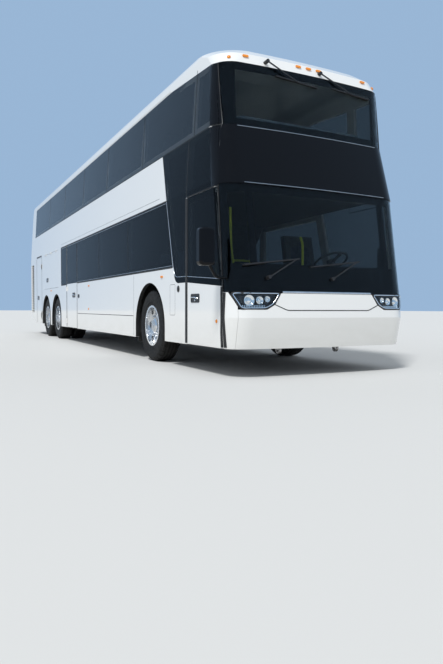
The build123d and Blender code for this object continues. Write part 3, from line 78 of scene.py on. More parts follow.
def shader_of(material):
    """The shader that holds the colour and the gloss of a material."""
    return material.node_tree.nodes["Principled BSDF"]


def finish(name, colour, roughness, metallic=0.0):
    """A material for one kind of surface."""
    material = bpy.data.materials.new(name)
    material.use_nodes = True
    inputs = shader_of(material).inputs
    inputs["Base Color"].default_value = (*colour, 1)
    inputs["Roughness"].default_value = roughness
    inputs["Metallic"].default_value = metallic
    return material


floor_mesh = bpy.data.meshes.new("studio_floor")
floor_mesh.from_pydata([(-FLOOR_HALF, -FLOOR_HALF, 0), (FLOOR_HALF, -FLOOR_HALF, 0),
                        (FLOOR_HALF, FLOOR_HALF, 0), (-FLOOR_HALF, FLOOR_HALF, 0)], [], [(0, 1, 2, 3)])
floor_mesh.materials.append(finish("studio_floor", FLOOR_COLOUR, FLOOR_ROUGHNESS))
floor = bpy.data.objects.new("studio_floor", floor_mesh)
scene.collection.objects.link(floor)

world = bpy.data.worlds.new("studio_sky")
world.use_nodes = True
sky_nodes = world.node_tree.nodes
sky = sky_nodes["Background"]
sky.inputs["Color"].default_value = (*SKY_COLOUR, 1)
sky.inputs["Strength"].default_value = SKY_STRENGTH
seen_sky = sky_nodes.new("ShaderNodeBackground")
seen_sky.inputs["Color"].default_value = (*SEEN_SKY_COLOUR, 1)
seen_sky.inputs["Strength"].default_value = SEEN_SKY_STRENGTH
ray = sky_nodes.new("ShaderNodeLightPath").outputs
direct, seen = [sky_nodes.new("ShaderNodeMath") for _ in range(2)]
direct.operation, seen.operation = "ADD", "ADD"
seen.use_clamp = True
mix_sky = sky_nodes.new("ShaderNodeMixShader")
for output, socket in ((ray["Is Camera Ray"], direct.inputs[0]), (ray["Is Glossy Ray"], direct.inputs[1]),
                       (direct.outputs[0], seen.inputs[0]), (ray["Is Transmission Ray"], seen.inputs[1]),
                       (seen.outputs[0], mix_sky.inputs["Fac"]), (sky.outputs[0], mix_sky.inputs[1]),
                       (seen_sky.outputs[0], mix_sky.inputs[2]),
                       (mix_sky.outputs[0], sky_nodes["World Output"].inputs["Surface"])):
    world.node_tree.links.new(output, socket)
scene.world = world

sun = bpy.data.objects.new("studio_sun", bpy.data.lights.new("studio_sun", "SUN"))
sun.data.energy = SUN_STRENGTH
sun.data.angle = SUN_SOFTNESS
sun.rotation_mode = "QUATERNION"
sun.rotation_quaternion = SUN_FROM.to_track_quat("Z", "Y")
scene.collection.objects.link(sun)

# Painted panels. Aluminium and plastic sheets and the louvred grilles in white enamel under clear
# coat, a little wavy from their frames, with a faint grey film of road dust that thins out above
# the skirts.
ENAMEL = (0.84, 0.84, 0.82)
ENAMEL_DUSTY = (0.62, 0.61, 0.57)
DUST_FOOT, DUST_HEAD = 0.28, 0.72
DUST_THICK, DUST_THIN = 0.8, 0.05
DUST_STREAKS = (1, 1, 2.5)
TONE_STOPS = (0.3, 0.7)
WHITE_PANELS = ["side_wall_left", "side_wall_right", "roof_shell", "front_lower_panels", "bumper_front",
                "bumper_rear", "rear_wall", "engine_lid", "luggage_door_left", "luggage_door_right",
                "rear_hatch_left", "rear_hatch_right", "entry_door_panel", "mid_door_panel"]


def add_node(material, kind, **settings):
    """A node in a material, with its inputs or properties set by name; _ stands for a space."""
    node = material.node_tree.nodes.new(kind)
    for key, value in settings.items():
        socket = key.replace("_", " ")
        if socket in node.inputs:
            node.inputs[socket].default_value = value
        else:
            setattr(node, key, value)
    return node


def join(material, output, socket):
    """Link one node's output to a socket."""
    material.node_tree.links.new(output, socket)


def place_of(material, stretch=(1, 1, 1)):
    """Coordinates in metres on the piece, stretched along each axis."""
    coordinates = add_node(material, "ShaderNodeTexCoord")
    mapping = add_node(material, "ShaderNodeMapping", Scale=stretch)
    join(material, coordinates.outputs["Object"], mapping.inputs["Vector"])
    return mapping.outputs["Vector"]


def mottle(material, socket, scale, low, high, stretch=(1, 1, 1)):
    """Vary a number or a colour of the shader over the surface between two values."""
    noise = add_node(material, "ShaderNodeTexNoise", Scale=scale, Detail=4.0, Roughness=0.6)
    join(material, place_of(material, stretch), noise.inputs["Vector"])
    ramp = add_node(material, "ShaderNodeValToRGB")
    for stop, position, value in zip(ramp.color_ramp.elements, TONE_STOPS, (low, high)):
        stop.position = position
        stop.color = (*value, 1) if isinstance(value, tuple) else (value, value, value, 1)
    join(material, noise.outputs["Fac"], ramp.inputs["Fac"])
    join(material, ramp.outputs["Color"], shader_of(material).inputs[socket])


def relief(material, scale, height, detail=2.0):
    """Fine unevenness of the surface, height in metres."""
    noise = add_node(material, "ShaderNodeTexNoise", Scale=scale, Detail=detail)
    join(material, place_of(material), noise.inputs["Vector"])
    bump = add_node(material, "ShaderNodeBump", Strength=1.0, Distance=height)
    join(material, noise.outputs["Fac"], bump.inputs["Height"])
    join(material, bump.outputs["Normal"], shader_of(material).inputs["Normal"])


def blend(material, share, first, second):
    """The mix of two colours by a share; each is a colour or the output of a node."""
    mix = add_node(material, "ShaderNodeMix", data_type="RGBA")
    join(material, share, mix.inputs["Factor"])
    for socket, colour in ((mix.inputs[6], first), (mix.inputs[7], second)):
        if isinstance(colour, tuple):
            socket.default_value = (*colour, 1)
        else:
            join(material, colour, socket)
    return mix.outputs[2]


def paint(material, *names):
    """Give CAD pieces their finish."""
    for name in names:
        for holder in nodes[name].material_slots:
            holder.material = material


enamel = finish("white_coach_enamel", ENAMEL, 0.32)
shader_of(enamel).inputs["Coat Weight"].default_value = 1.0
shader_of(enamel).inputs["Coat Roughness"].default_value = 0.04
relief(enamel, 1.3, 0.0016, detail=1.0)
height_above = add_node(enamel, "ShaderNodeSeparateXYZ")
join(enamel, place_of(enamel), height_above.inputs["Vector"])
dust_height = add_node(enamel, "ShaderNodeMapRange", From_Min=DUST_FOOT, From_Max=DUST_HEAD,
                       To_Min=DUST_THICK, To_Max=DUST_THIN)
join(enamel, height_above.outputs["Z"], dust_height.inputs["Value"])
dust_cloud = add_node(enamel, "ShaderNodeTexNoise", Scale=2.6, Detail=6.0, Roughness=0.65)
join(enamel, place_of(enamel, DUST_STREAKS), dust_cloud.inputs["Vector"])
dust_share = add_node(enamel, "ShaderNodeMath", operation="MULTIPLY")
join(enamel, dust_height.outputs["Result"], dust_share.inputs[0])
join(enamel, dust_cloud.outputs["Fac"], dust_share.inputs[1])
dusty_enamel = blend(enamel, dust_share.outputs[0], ENAMEL, ENAMEL_DUSTY)
join(enamel, dusty_enamel, shader_of(enamel).inputs["Base Color"])
paint(enamel, *WHITE_PANELS, "side_grilles")

# Side windows. Bonded panes of dark grey heat glass, flush with the panels, behind which only a
# little of the saloon shows.
SIDE_GLASS = (0.10, 0.11, 0.115)
TINT_LOW, TINT_HIGH = (0.085, 0.092, 0.097), (0.115, 0.125, 0.13)


def glass(name, colour, roughness, bending, scale, low, high):
    """A pane's material: bending is how far it turns light, and its tint goes from low to high."""
    material = finish(name, colour, roughness)
    shader_of(material).inputs["Transmission Weight"].default_value = 1.0
    shader_of(material).inputs["IOR"].default_value = bending
    mottle(material, "Base Color", scale, low, high)
    return material


side_glass = glass("tinted_side_glass", SIDE_GLASS, 0.015, 1.27, 0.6, TINT_LOW, TINT_HIGH)
relief(side_glass, 0.9, 0.0012, detail=1.0)
paint(side_glass, "upper_side_glass", "rear_window")

# Lower windows. Panes of the same glass, bonded in the same way, darker in tint and with a lower IOR
# that takes much of their shine: painted shade, a dark reflection of surroundings the studio lacks.
# Painted dark reflection: a darker tint and a lower IOR than the upper panes.
dark_reflection_glass = glass("lower_glass_painted_dark_reflection", SIDE_GLASS, 0.02, 1.14, 0.6, (0.06, 0.066, 0.07), TINT_LOW)
relief(dark_reflection_glass, 0.9, 0.0012, detail=1.0)
paint(dark_reflection_glass, "lower_side_glass", "entry_door_glass", "mid_door_glass")

# Windscreens. Clear laminated glass, faintly grey green, curved round the nose and bonded to the
# black frame behind it.
SCREEN_GLASS = (0.50, 0.55, 0.55)
screen_glass = glass("clear_screen_glass", SCREEN_GLASS, 0.01, 1.24, 0.8, (0.46, 0.51, 0.51),
                     (0.54, 0.59, 0.585))
relief(screen_glass, 1.1, 0.0008, detail=1.0)
paint(screen_glass, "front_screens")

# Black front. The frame behind the screens, the panel between them and the heads of the mirrors
# are of gloss black plastic, polished, with fine dust in the gloss.
GLOSS_BLACK = (0.004, 0.004, 0.005)
gloss_black = finish("gloss_black_plastic", GLOSS_BLACK, 0.08)
shader_of(gloss_black).inputs["IOR"].default_value = 1.27
mottle(gloss_black, "Roughness", 7.0, 0.05, 0.12)
relief(gloss_black, 1.4, 0.0004, detail=1.0)
paint(gloss_black, "front_frame", "front_belt_panel", "mirror_heads")

# Wipers. Steel arms in dull black paint turn on hubs under the screens and press rubber blades with
# a fine grain on the glass.
DULL_BLACK = (0.014, 0.014, 0.015)
dull_black = finish("dull_black_plastic", DULL_BLACK, 0.55)
mottle(dull_black, "Roughness", 30.0, 0.45, 0.68)
relief(dull_black, 900.0, 0.00012)
paint(dull_black, "wipers")

# Window seals. Black rubber strips lie over the bonding gap along the lower windows and the quarter
# windows, and press on the glass with a rounded lip.
SEAL_SINK = 0.006
CORNER_STEPS = 5
CORNER_SHARE = 0.45
LIP_EDGE, LIP_TOP = 0.5, 0.7
POINT_STEP = 0.09
LOOK_AROUND = 0.012
SIDE_SIGHT, END_SIGHT = 2.5, 8.5
SKIN_PIECES = WHITE_PANELS + ["upper_side_glass", "lower_side_glass", "entry_door_glass", "mid_door_glass",
                              "rear_window", "front_screens", "front_frame", "front_belt_panel", "headlamps"]


def surface_of(*names):
    """The surface of CAD pieces, to set other pieces on."""
    surface = bmesh.new()
    for name in names:
        surface.from_mesh(nodes[name].data)
    tree = BVHTree.FromBMesh(surface)
    surface.free()
    return tree


def on_skin(start, towards):
    """The outermost place of the skin near a line of sight, so that seams are passed over, and its facing."""
    level = Vector((abs(towards.y), abs(towards.x), 0)) * LOOK_AROUND
    upright = Vector((0, 0, 1)) * LOOK_AROUND
    nearest, facing = None, None
    for aside in (Vector((0, 0, 0)), level, -level, upright, -upright):
        place, normal, _, reach = skin.ray_cast(start + aside, towards)
        if place and (nearest is None or reach < nearest):
            nearest, facing = reach, normal
    return start + nearest * towards, facing


def on_side(side, x, z):
    """A place on the side wall and the way it faces. side is -1 on the right."""
    return on_skin(Vector((x, side * SIDE_SIGHT, z)), Vector((0, -side, 0)))


def on_end(end, y, z):
    """A place on the nose or the tail and the way it faces. end is 1 at the nose."""
    return on_skin(Vector((end * END_SIGHT, y, z)), Vector((-end, 0, 0)))


def softened(corners, rounding=0.0, closed=False):
    """A line through corners, each rounded off from this far before it to as far past it."""
    corners = [Vector(corner) for corner in corners]
    line = []
    for index, corner in enumerate(corners):
        if rounding == 0 or (not closed and index in (0, len(corners) - 1)):
            line.append(corner)
            continue
        ends = []
        for neighbour in (corners[index - 1], corners[(index + 1) % len(corners)]):
            leg = neighbour - corner
            ends.append(corner + leg * min(rounding / leg.length, CORNER_SHARE))
        for step in range(CORNER_STEPS + 1):
            share = step / CORNER_STEPS
            line.append((1 - share) ** 2 * ends[0] + 2 * share * (1 - share) * corner + share ** 2 * ends[1])
    return line + line[:1] if closed else line


def spaced(line, step=POINT_STEP):
    """The same line with its points no further apart than a step."""
    finer = []
    for here, there in zip(line, line[1:]):
        count = max(1, ceil((there - here).length / step))
        finer += [here.lerp(there, index / count) for index in range(count)]
    return finer + [line[-1]]


def lip(width, rise, sink=SEAL_SINK):
    """Section of a flat strip with its outer edges rounded, as (across, out)."""
    half = width / 2
    profile = ((half, -sink), (half, rise * LIP_EDGE), (half * LIP_TOP, rise))
    return [(-across, out) for across, out in profile] + list(reversed(profile))


def round_section(radius, count=10):
    """Section of a round rod."""
    return [(radius * cos(tau * index / count), radius * sin(tau * index / count)) for index in range(count)]


def wall(mesh, here, there):
    """The faces between two rings of points."""
    for n in range(len(here)):
        onward = (n + 1) % len(here)
        mesh.faces.new((here[n], here[onward], there[onward], there[n]))


def bar(mesh, places, outs, section, closed=False):
    """A bar of one section along a line of places; outs says which way its outer face looks."""
    count = len(places)
    rings = []
    for index in range(count):
        before = places[index - 1] if index or closed else places[index]
        after = places[(index + 1) % count] if index < count - 1 or closed else places[index]
        along = (after - before).normalized()
        across = along.cross(outs[index]).normalized()
        outward = across.cross(along).normalized()
        rings.append([mesh.verts.new(places[index] + u * across + v * outward) for u, v in section])
    for index in range(count if closed else count - 1):
        wall(mesh, rings[index], rings[(index + 1) % count])
    if not closed:
        mesh.faces.new(rings[0])
        mesh.faces.new(list(reversed(rings[-1])))


def strip(mesh, ground, side, corners, section, rounding=0.0, closed=False):
    """A bar laid on a side or an end of the body, along a line through corners."""
    line = spaced(softened(corners, rounding, closed))
    if closed:
        line.pop()
    found = [ground(side, *place) for place in line]
    bar(mesh, [place for place, _ in found], [facing for _, facing in found], section, closed)


def fit_piece(name, mesh, material, body="coach", sharp=35):
    """Make a mesh a piece of the bus, with its finish, riding on one of its bodies."""
    bmesh.ops.recalc_face_normals(mesh, faces=mesh.faces)
    data = bpy.data.meshes.new(name)
    mesh.to_mesh(data)
    mesh.free()
    data.shade_smooth()
    data.set_sharp_from_angle(angle=radians(sharp))
    data.materials.append(material)
    piece = bpy.data.objects.new(name, data)
    scene.collection.objects.link(piece)
    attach(piece, body)
    return piece


skin = surface_of(*SKIN_PIECES)
rubber = finish("window_rubber", (0.012, 0.012, 0.012), 0.6)
mottle(rubber, "Base Color", 9.0, (0.009, 0.009, 0.009), (0.024, 0.023, 0.022))
mottle(rubber, "Roughness", 40.0, 0.48, 0.72)
relief(rubber, 700.0, 0.0001)
SILL_Z, HEAD_Z = 1.330, 2.240
REAR_X, DOOR_FRONT_X, DOOR_REAR_X = -2.14, -0.43, -1.50
PANE_EDGES = ((5.125, SILL_Z), (4.893, HEAD_Z), (REAR_X, HEAD_Z), (REAR_X, SILL_Z))
SEAL_LINES = {-1: ((DOOR_FRONT_X, SILL_Z), *PANE_EDGES, (DOOR_REAR_X, SILL_Z)),
              1: ((REAR_X, SILL_Z), *PANE_EDGES)}
WINDOW_SEAL = lip(0.022, 0.0022)
seals = bmesh.new()
for side, corners in SEAL_LINES.items():
    strip(seals, on_side, side, corners, WINDOW_SEAL, 0.03)
fit_piece("window_seals", seals, rubber)

# Pane joints. The narrow gaps between the bonded panes are filled with black sealant, smoothed flush
# with the glass.
SEALANT = lip(0.012, 0.0004, 0.004)
UPPER_SILL, UPPER_HEAD = 2.905, 3.715
JOINT_GAP = 0.01
UPPER_JOINTS_X, LOWER_JOINTS_X = (-3.83, -1.92, -0.04, 1.80, 3.79, 5.73), (1.37, 3.18)
PANE_JOINTS = [((x, UPPER_SILL + JOINT_GAP), (x, UPPER_HEAD)) for x in UPPER_JOINTS_X]
PANE_JOINTS += [((x, SILL_Z + JOINT_GAP), (x, HEAD_Z - JOINT_GAP)) for x in LOWER_JOINTS_X]
PANE_JOINTS += [((-6.09, UPPER_SILL), (6.33, UPPER_SILL)), ((5.58, 2.18), (5.58, UPPER_SILL)),
                ((5.59, 2.178), (6.44, 2.178)), ((6.590, 0.975), (6.232, 3.635))]
sealant = bmesh.new()
for side in (-1, 1):
    for ends in PANE_JOINTS:
        strip(sealant, on_side, side, ends, SEALANT)
fit_piece("pane_joints", sealant, rubber)

# Edge print. The panes are baked black on the inside where they curve round to the nose, so that the
# bonding behind them doesn't show; it is laid as narrow bands that follow the curve.
edge_print = finish("baked_edge_black", GLOSS_BLACK, 0.12)
shader_of(edge_print).inputs["IOR"].default_value = 1.3
mottle(edge_print, "Roughness", 6.0, 0.08, 0.16)
PRINT_EDGES = (((6.452, 2.186), (6.342, 2.893)), ((6.338, 2.917), (6.234, 3.625)))
PRINT_INSET = 0.019
PRINT_BANDS, PRINT_BAND, BAND_OVERLAP = 5, 0.029, 0.002
PRINT = lip(PRINT_BAND + BAND_OVERLAP, 0.0006, 0.002)
prints = bmesh.new()
for side in (-1, 1):
    for band in range(PRINT_BANDS):
        back = PRINT_INSET + band * PRINT_BAND
        for edge in PRINT_EDGES:
            strip(prints, on_side, side, [(x - back, z) for x, z in edge], PRINT)
fit_piece("pane_edge_print", prints, edge_print)

# Window beading. Thin satin aluminium beads run along the lower windows and the edge of the black
# quarter pane, and are pressed into the rubber.
BEAD_SINK = 0.004
BEAD, EDGE_BEAD = lip(0.006, 0.0030, BEAD_SINK), lip(0.007, 0.0034, BEAD_SINK)
SILL_BEAD_Z, HEAD_BEAD_Z = 1.354, 2.214
BEAD_REAR_X = {-1: -0.41, 1: -2.11}
QUARTER_EDGE = ((4.900, 2.232), (5.135, 1.335), (5.21, 1.195), (5.572, 1.190))
satin_alloy = finish("satin_aluminium", (0.70, 0.71, 0.72), 0.3, 1.0)
mottle(satin_alloy, "Roughness", 60.0, 0.22, 0.4, (1, 1, 8))
mottle(satin_alloy, "Base Color", 8.0, (0.62, 0.63, 0.64), (0.76, 0.77, 0.78))
beading = bmesh.new()
for side in (-1, 1):
    strip(beading, on_side, side, ((BEAD_REAR_X[side], SILL_BEAD_Z), (5.09, SILL_BEAD_Z)), BEAD)
    strip(beading, on_side, side, ((BEAD_REAR_X[1], HEAD_BEAD_Z), (4.88, HEAD_BEAD_Z)), BEAD)
    strip(beading, on_side, side, QUARTER_EDGE, EDGE_BEAD, 0.09)
fit_piece("window_beading", beading, satin_alloy)
door_beading = bmesh.new()
strip(door_beading, on_side, -1, ((5.592, 1.188), (6.555, 1.118)), EDGE_BEAD)
fit_piece("door_beading", door_beading, satin_alloy, "entry_door")

# Side joints. A pressed rib and an upright joint part the skirt panels; a black strip under the rib is
# painted shade, the shadow line below it. A thin joint runs over the lower windows, a black drip slot
# over the rear hatches, and a broad rib follows the roof's edge.
JOINT_SINK = 0.003
PANEL_FOOT = 0.345
SKIRT_JOINT = ((3.47, PANEL_FOOT), (3.47, 1.30))
RIB_REAR_X = {-1: -0.41, 1: -2.08}
joints_and_rib_shade = bmesh.new()
ribs = bmesh.new()
for side in (-1, 1):
    strip(joints_and_rib_shade, on_side, side, SKIRT_JOINT, lip(0.006, 0.0006, JOINT_SINK))
    for mesh, start_x, end_x, z, section in (
            (joints_and_rib_shade, -5.65, -4.86, 2.255, lip(0.036, 0.003)),
            (joints_and_rib_shade, REAR_X, 4.63, 2.32, lip(0.004, 0.0006, JOINT_SINK)),
            # Painted shade: a black strip just under the pressed rib, for the shadow line below it.
            (joints_and_rib_shade, RIB_REAR_X[side], 3.45, 0.662, lip(0.010, 0.0008, JOINT_SINK)),
            (ribs, RIB_REAR_X[side] + 0.07, 3.41, 0.674, lip(0.014, 0.0035)),
            (ribs, -6.10, 4.85, 3.752, lip(0.020, 0.006))):
        strip(mesh, on_side, side, ((start_x, z), (end_x, z)), section)
fit_piece("panel_joints_and_rib_shade", joints_and_rib_shade, rubber)
fit_piece("side_ribs", ribs, enamel)

# Door seals. Thick black rubber edges stand on the doors, on the posts beside them and beside the
# rear hatches, where they close the gap against draught and dirt.
EDGE_SEALS = (
    # piece, body, sides, rise, and of each strip its x, its head and its width
    ("entry_door_seals", "entry_door", (-1,), 0.004, ((5.603, 2.160, 0.034), (6.566, 1.03, 0.036))),
    ("door_post_seals", "coach", (-1,), 0.003,
     ((5.563, 2.165, 0.034), (6.609, 0.962, 0.036), (-1.510, 2.225, 0.034))),
    ("mid_door_seal", "mid_door", (-1,), 0.003, ((-0.461, 2.225, 0.018),)),
    ("hatch_edge_seals", "coach", (-1, 1), 0.002, ((-5.673, 2.215, 0.020), (-4.837, 2.215, 0.020))),
)
for name, body, sides, rise, edges in EDGE_SEALS:
    edge_seals = bmesh.new()
    for side in sides:
        for x, head_z, width in edges:
            strip(edge_seals, on_side, side, ((x, PANEL_FOOT), (x, head_z)), lip(width, rise))
    fit_piece(name, edge_seals, rubber, body)

# Arch linings. A black rubber strip lines the edge of each wheel arch, round over the axle and
# upright below it, and keeps the arch's edge dark.
AXLES = {"front": 4.200, "drive": -2.750, "tag": -4.150}
ARCH_RADII = {"front": 0.632, "drive": 0.605, "tag": 0.605}
WHEEL_Z = 0.525
LINING_FOOT, LINING_KNEE = 0.335, 0.43
LINING_HALF, LINING_RISE, LINING_SINK = 0.027, 0.004, 0.003
LINING_INSET = 0.0015
LINING = ((-LINING_HALF, -LINING_SINK), (-LINING_HALF, LINING_RISE), (LINING_HALF, LINING_RISE),
          (LINING_HALF, -LINING_SINK))
BESIDE_ARCH = 0.03
lining_line = [(0, LINING_FOOT), (0, LINING_KNEE)] + [(angle, WHEEL_Z) for angle in range(0, 181, 5)]
lining_line += [(180, LINING_KNEE), (180, LINING_FOOT)]
linings = bmesh.new()
for side in (-1, 1):
    for axle, axle_x in AXLES.items():
        places, inwards = [], []
        for angle, height in lining_line:
            away = Vector((cos(radians(angle)), 0, sin(radians(angle))))
            edge = Vector((axle_x, 0, height)) + away * ARCH_RADII[axle]
            beside, _ = on_side(side, edge.x + BESIDE_ARCH * away.x, edge.z + BESIDE_ARCH * away.z)
            places.append(Vector((edge.x, beside.y - side * (LINING_HALF + LINING_INSET), edge.z)))
            inwards.append(-away)
        bar(linings, places, inwards, LINING)
fit_piece("arch_linings", linings, rubber)

# Front trim. A satin aluminium bead caps both edges of the panel between the screens, and a broad
# one the white panel between the lamps, which a black joint parts from the bumper.
BELT_EDGES = (2.212, 2.893)
NOSE_BEAD = ((-0.64, 0.972), (0.64, 0.972))
NOSE_JOINT = ((-0.744, 0.829), (-0.588, 0.765), (0.588, 0.765), (0.744, 0.829))
front_trim = bmesh.new()
for z in BELT_EDGES:
    strip(front_trim, on_end, 1, ((-1.02, z), (1.02, z)), BEAD)
strip(front_trim, on_end, 1, NOSE_BEAD, lip(0.020, 0.004))
fit_piece("front_trim", front_trim, satin_alloy)
nose_joint = bmesh.new()
strip(nose_joint, on_end, 1, NOSE_JOINT, lip(0.010, 0.001, JOINT_SINK), 0.032)
fit_piece("nose_panel_joint", nose_joint, rubber)

# Headlamps. Each is a black housing with three bright bowls round polished domes and a row of bright
# flutes behind a clear cover, which a black gasket and a bright frame hold in the corner of the nose.
LAMP_TOP = 0.962
LAMP_OUTLINE = ((0.667, 0.960), (1.248, 0.960), (1.162, 0.782), (0.852, 0.782), (0.755, 0.834))
LAMP_FOOT = ((0.663, LAMP_TOP), (0.752, 0.832), (0.850, 0.778), (1.165, 0.778), (1.252, LAMP_TOP))
LAMP_MIDDLE = Vector((0.97, 0.885))
LAMP_ROUNDING, FOOT_ROUNDING = 0.035, 0.03
LAMP_COLUMNS, LAMP_ROWS = 30, 8
INNER_LEAN, OUTER_LEAN, LAMP_GAP = 1.8, 1.4, 0.003
LEAST_HEIGHT = 0.002
HOUSING = {"margin": 0.016, "depth": 0.034, "rim_margin": 0.007, "rim_depth": 0.003}
COVER = {"margin": 0.005, "depth": -0.0005, "rim_margin": 0.004, "rim_depth": 0.003}
HOUSING_SHEET, COVER_SHEET = 0.002, 0.0025
FLUTES, FLUTE_Y, FLUTE_PITCH = 14, 0.872, 0.0205
FLUTE_ENDS, FLUTE_FACING_Z, FLUTE_DEPTH = (0.800, 0.824), 0.815, 0.026
FLUTE = round_section(0.006, 8)
# Each bowl's y, z and radius; the profiles are (share of that radius, reach along the axis).
BOWLS = ((1.062, 0.876, 0.060), (0.932, 0.878, 0.044), (0.834, 0.892, 0.034))
BOWL_DEPTH = 0.012
BOWL = ((1, 0), (0.94, -0.002), (0.80, -0.010), (0.55, -0.017), (0.5, -0.019), (0.5, -0.021), (0.97, -0.019),
        (1.02, 0))
BOWL_DOME = ((0, 0.003), (0.2, 0.0018), (0.36, -0.002), (0.47, -0.010), (0.5, -0.018), (0, -0.018))
lamp_chain = softened(LAMP_FOOT, FOOT_ROUNDING)


def facing_at(end, y, z, span=0.03):
    """The way the nose or the tail faces, taken over a span so that small facets don't tell."""
    upward = on_end(end, y, z + span)[0] - on_end(end, y, z - span)[0]
    across = on_end(end, y + span, z)[0] - on_end(end, y - span, z)[0]
    facing = across.cross(upward).normalized()
    return facing if facing.x * end > 0 else -facing


def lamp_foot(y):
    """Height of the lamp's lower edge."""
    for here, there in zip(lamp_chain, lamp_chain[1:]):
        if here.x <= y <= there.x:
            return here.lerp(there, (y - here.x) / max(there.x - here.x, 1e-6)).y
    return LAMP_TOP


def lamp_sheet(mesh, side, margin, depth, rim_margin, rim_depth):
    """A sheet over the lamp's outline, this deep behind the nose, with its edge turned out to rim_depth."""
    rows = []
    for column in range(-1, LAMP_COLUMNS + 2):
        row = []
        for step in range(-1, LAMP_ROWS + 2):
            at_edge = column in (-1, LAMP_COLUMNS + 1) or step in (-1, LAMP_ROWS + 1)
            inward, sunk = (rim_margin, rim_depth) if at_edge else (margin, depth)
            low_y = LAMP_FOOT[0][0] + INNER_LEAN * inward + LAMP_GAP
            high_y = LAMP_FOOT[-1][0] - OUTER_LEAN * inward - LAMP_GAP
            y = low_y + (high_y - low_y) * min(max(column, 0), LAMP_COLUMNS) / LAMP_COLUMNS
            head = LAMP_TOP - inward
            foot = min(lamp_foot(y) + inward, head - LEAST_HEIGHT)
            z = foot + (head - foot) * min(max(step, 0), LAMP_ROWS) / LAMP_ROWS
            row.append(mesh.verts.new(on_end(1, side * y, z)[0] - facing_at(1, side * y, z) * sunk))
        rows.append(row)
    for here, there in zip(rows, rows[1:]):
        for step in range(len(here) - 1):
            mesh.faces.new((here[step], here[step + 1], there[step + 1], there[step]))


def turned(mesh, centre, axis, profile, count=32, closed=False):
    """A profile of (radius, reach along the axis) turned round an axis."""
    across = axis.orthogonal().normalized()
    upward = axis.cross(across)
    rings = []
    for radius, reach in profile:
        turns = count if radius > 0 else 1
        rings.append([mesh.verts.new(centre + axis * reach + across * radius * cos(tau * n / count)
                                     + upward * radius * sin(tau * n / count)) for n in range(turns)])
    followers = rings[1:] + (rings[:1] if closed else [])
    for here, there in zip(rings, followers):
        for n in range(count):
            ring = [here[n % len(here)], here[(n + 1) % len(here)], there[(n + 1) % len(there)],
                    there[n % len(there)]]
            mesh.faces.new(list(dict.fromkeys(ring)))


def thicken(piece, thickness, offset=-1.0):
    """Give a sheet its thickness."""
    solid = piece.modifiers.new("thickness", "SOLIDIFY")
    solid.thickness = thickness
    solid.offset = offset


lamp_cover = glass("clear_lamp_cover", (0.93, 0.95, 0.96), 0.02, 1.18, 14.0, (0.90, 0.92, 0.93),
                   (0.97, 0.98, 0.98))
lamp_chrome = finish("lamp_chrome", (0.95, 0.95, 0.94), 0.14, 1.0)
mottle(lamp_chrome, "Roughness", 50.0, 0.08, 0.24)
relief(lamp_chrome, 60.0, 0.0008)
lamp_black = finish("lamp_housing_black", (0.02, 0.021, 0.023), 0.35)
mottle(lamp_black, "Base Color", 30.0, (0.015, 0.015, 0.017), (0.04, 0.041, 0.045))
housings, covers, gaskets, frames, bowls, domes = [bmesh.new() for _ in range(6)]
lamp_edges = ((gaskets, lip(0.016, 0.0028), 0.002), (frames, lip(0.010, 0.003), 0.017))
for side in (-1, 1):
    lamp_sheet(housings, side, **HOUSING)
    lamp_sheet(covers, side, **COVER)
    for edge_mesh, section, inward in lamp_edges:
        corners = []
        for corner in LAMP_OUTLINE:
            y, z = Vector(corner) + (LAMP_MIDDLE - Vector(corner)).normalized() * inward
            corners.append((side * y, z))
        strip(edge_mesh, on_end, 1, corners, section, LAMP_ROUNDING, closed=True)
    for step in range(FLUTES):
        y = side * (FLUTE_Y + FLUTE_PITCH * step)
        facing = facing_at(1, y, FLUTE_FACING_Z)
        flute = [on_end(1, y, z)[0] - facing * FLUTE_DEPTH for z in FLUTE_ENDS]
        bar(bowls, flute, [facing, facing], FLUTE)
    for y, z, radius in BOWLS:
        facing = facing_at(1, side * y, z, radius * 0.7)
        centre = on_end(1, side * y, z)[0] - facing * BOWL_DEPTH
        bowl, dome = [[(radius * share, reach) for share, reach in profile] for profile in (BOWL, BOWL_DOME)]
        turned(bowls, centre, facing, bowl, 40, closed=True)
        turned(domes, centre, facing, dome)
lamp_housings = fit_piece("headlamp_housings", housings, lamp_black)
thicken(lamp_housings, HOUSING_SHEET, 1.0)
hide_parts("headlamps")
thicken(fit_piece("headlamp_covers", covers, lamp_cover), COVER_SHEET)
fit_piece("headlamp_gaskets", gaskets, rubber)
for name, mesh in (("frames", frames), ("bowls", bowls), ("domes", domes)):
    fit_piece(f"headlamp_{name}", mesh, lamp_chrome)

# Signal lamps. Amber lenses of moulded plastic with fine ribs inside; the upright clusters at the
# tail are red with an amber band and a clear one.
AMBER = (0.85, 0.27, 0.02)
AMBER_DEEP, AMBER_BRIGHT = (0.72, 0.20, 0.012), (0.92, 0.34, 0.03)
TAIL_RED = (0.45, 0.012, 0.010)
TAIL_CLEAR = (0.62, 0.62, 0.60)
CLUSTER_FOOT, CLUSTER_HEAD = 0.94, 1.56
CLEAR_FROM, AMBER_FROM, RED_FROM = 0.42, 0.56, 0.74
TAIL_X = -6.5
signal_lens = finish("ribbed_signal_lens", AMBER, 0.15)
amber_ribs = add_node(signal_lens, "ShaderNodeTexWave", Scale=60.0, Distortion=0.4, Detail=1.0,
                      bands_direction="DIAGONAL")
join(signal_lens, place_of(signal_lens), amber_ribs.inputs["Vector"])
amber_tone = blend(signal_lens, amber_ribs.outputs["Fac"], AMBER_DEEP, AMBER_BRIGHT)
lens_place = add_node(signal_lens, "ShaderNodeSeparateXYZ")
join(signal_lens, place_of(signal_lens), lens_place.inputs["Vector"])
lens_bands = add_node(signal_lens, "ShaderNodeMapRange", From_Min=CLUSTER_FOOT, From_Max=CLUSTER_HEAD)
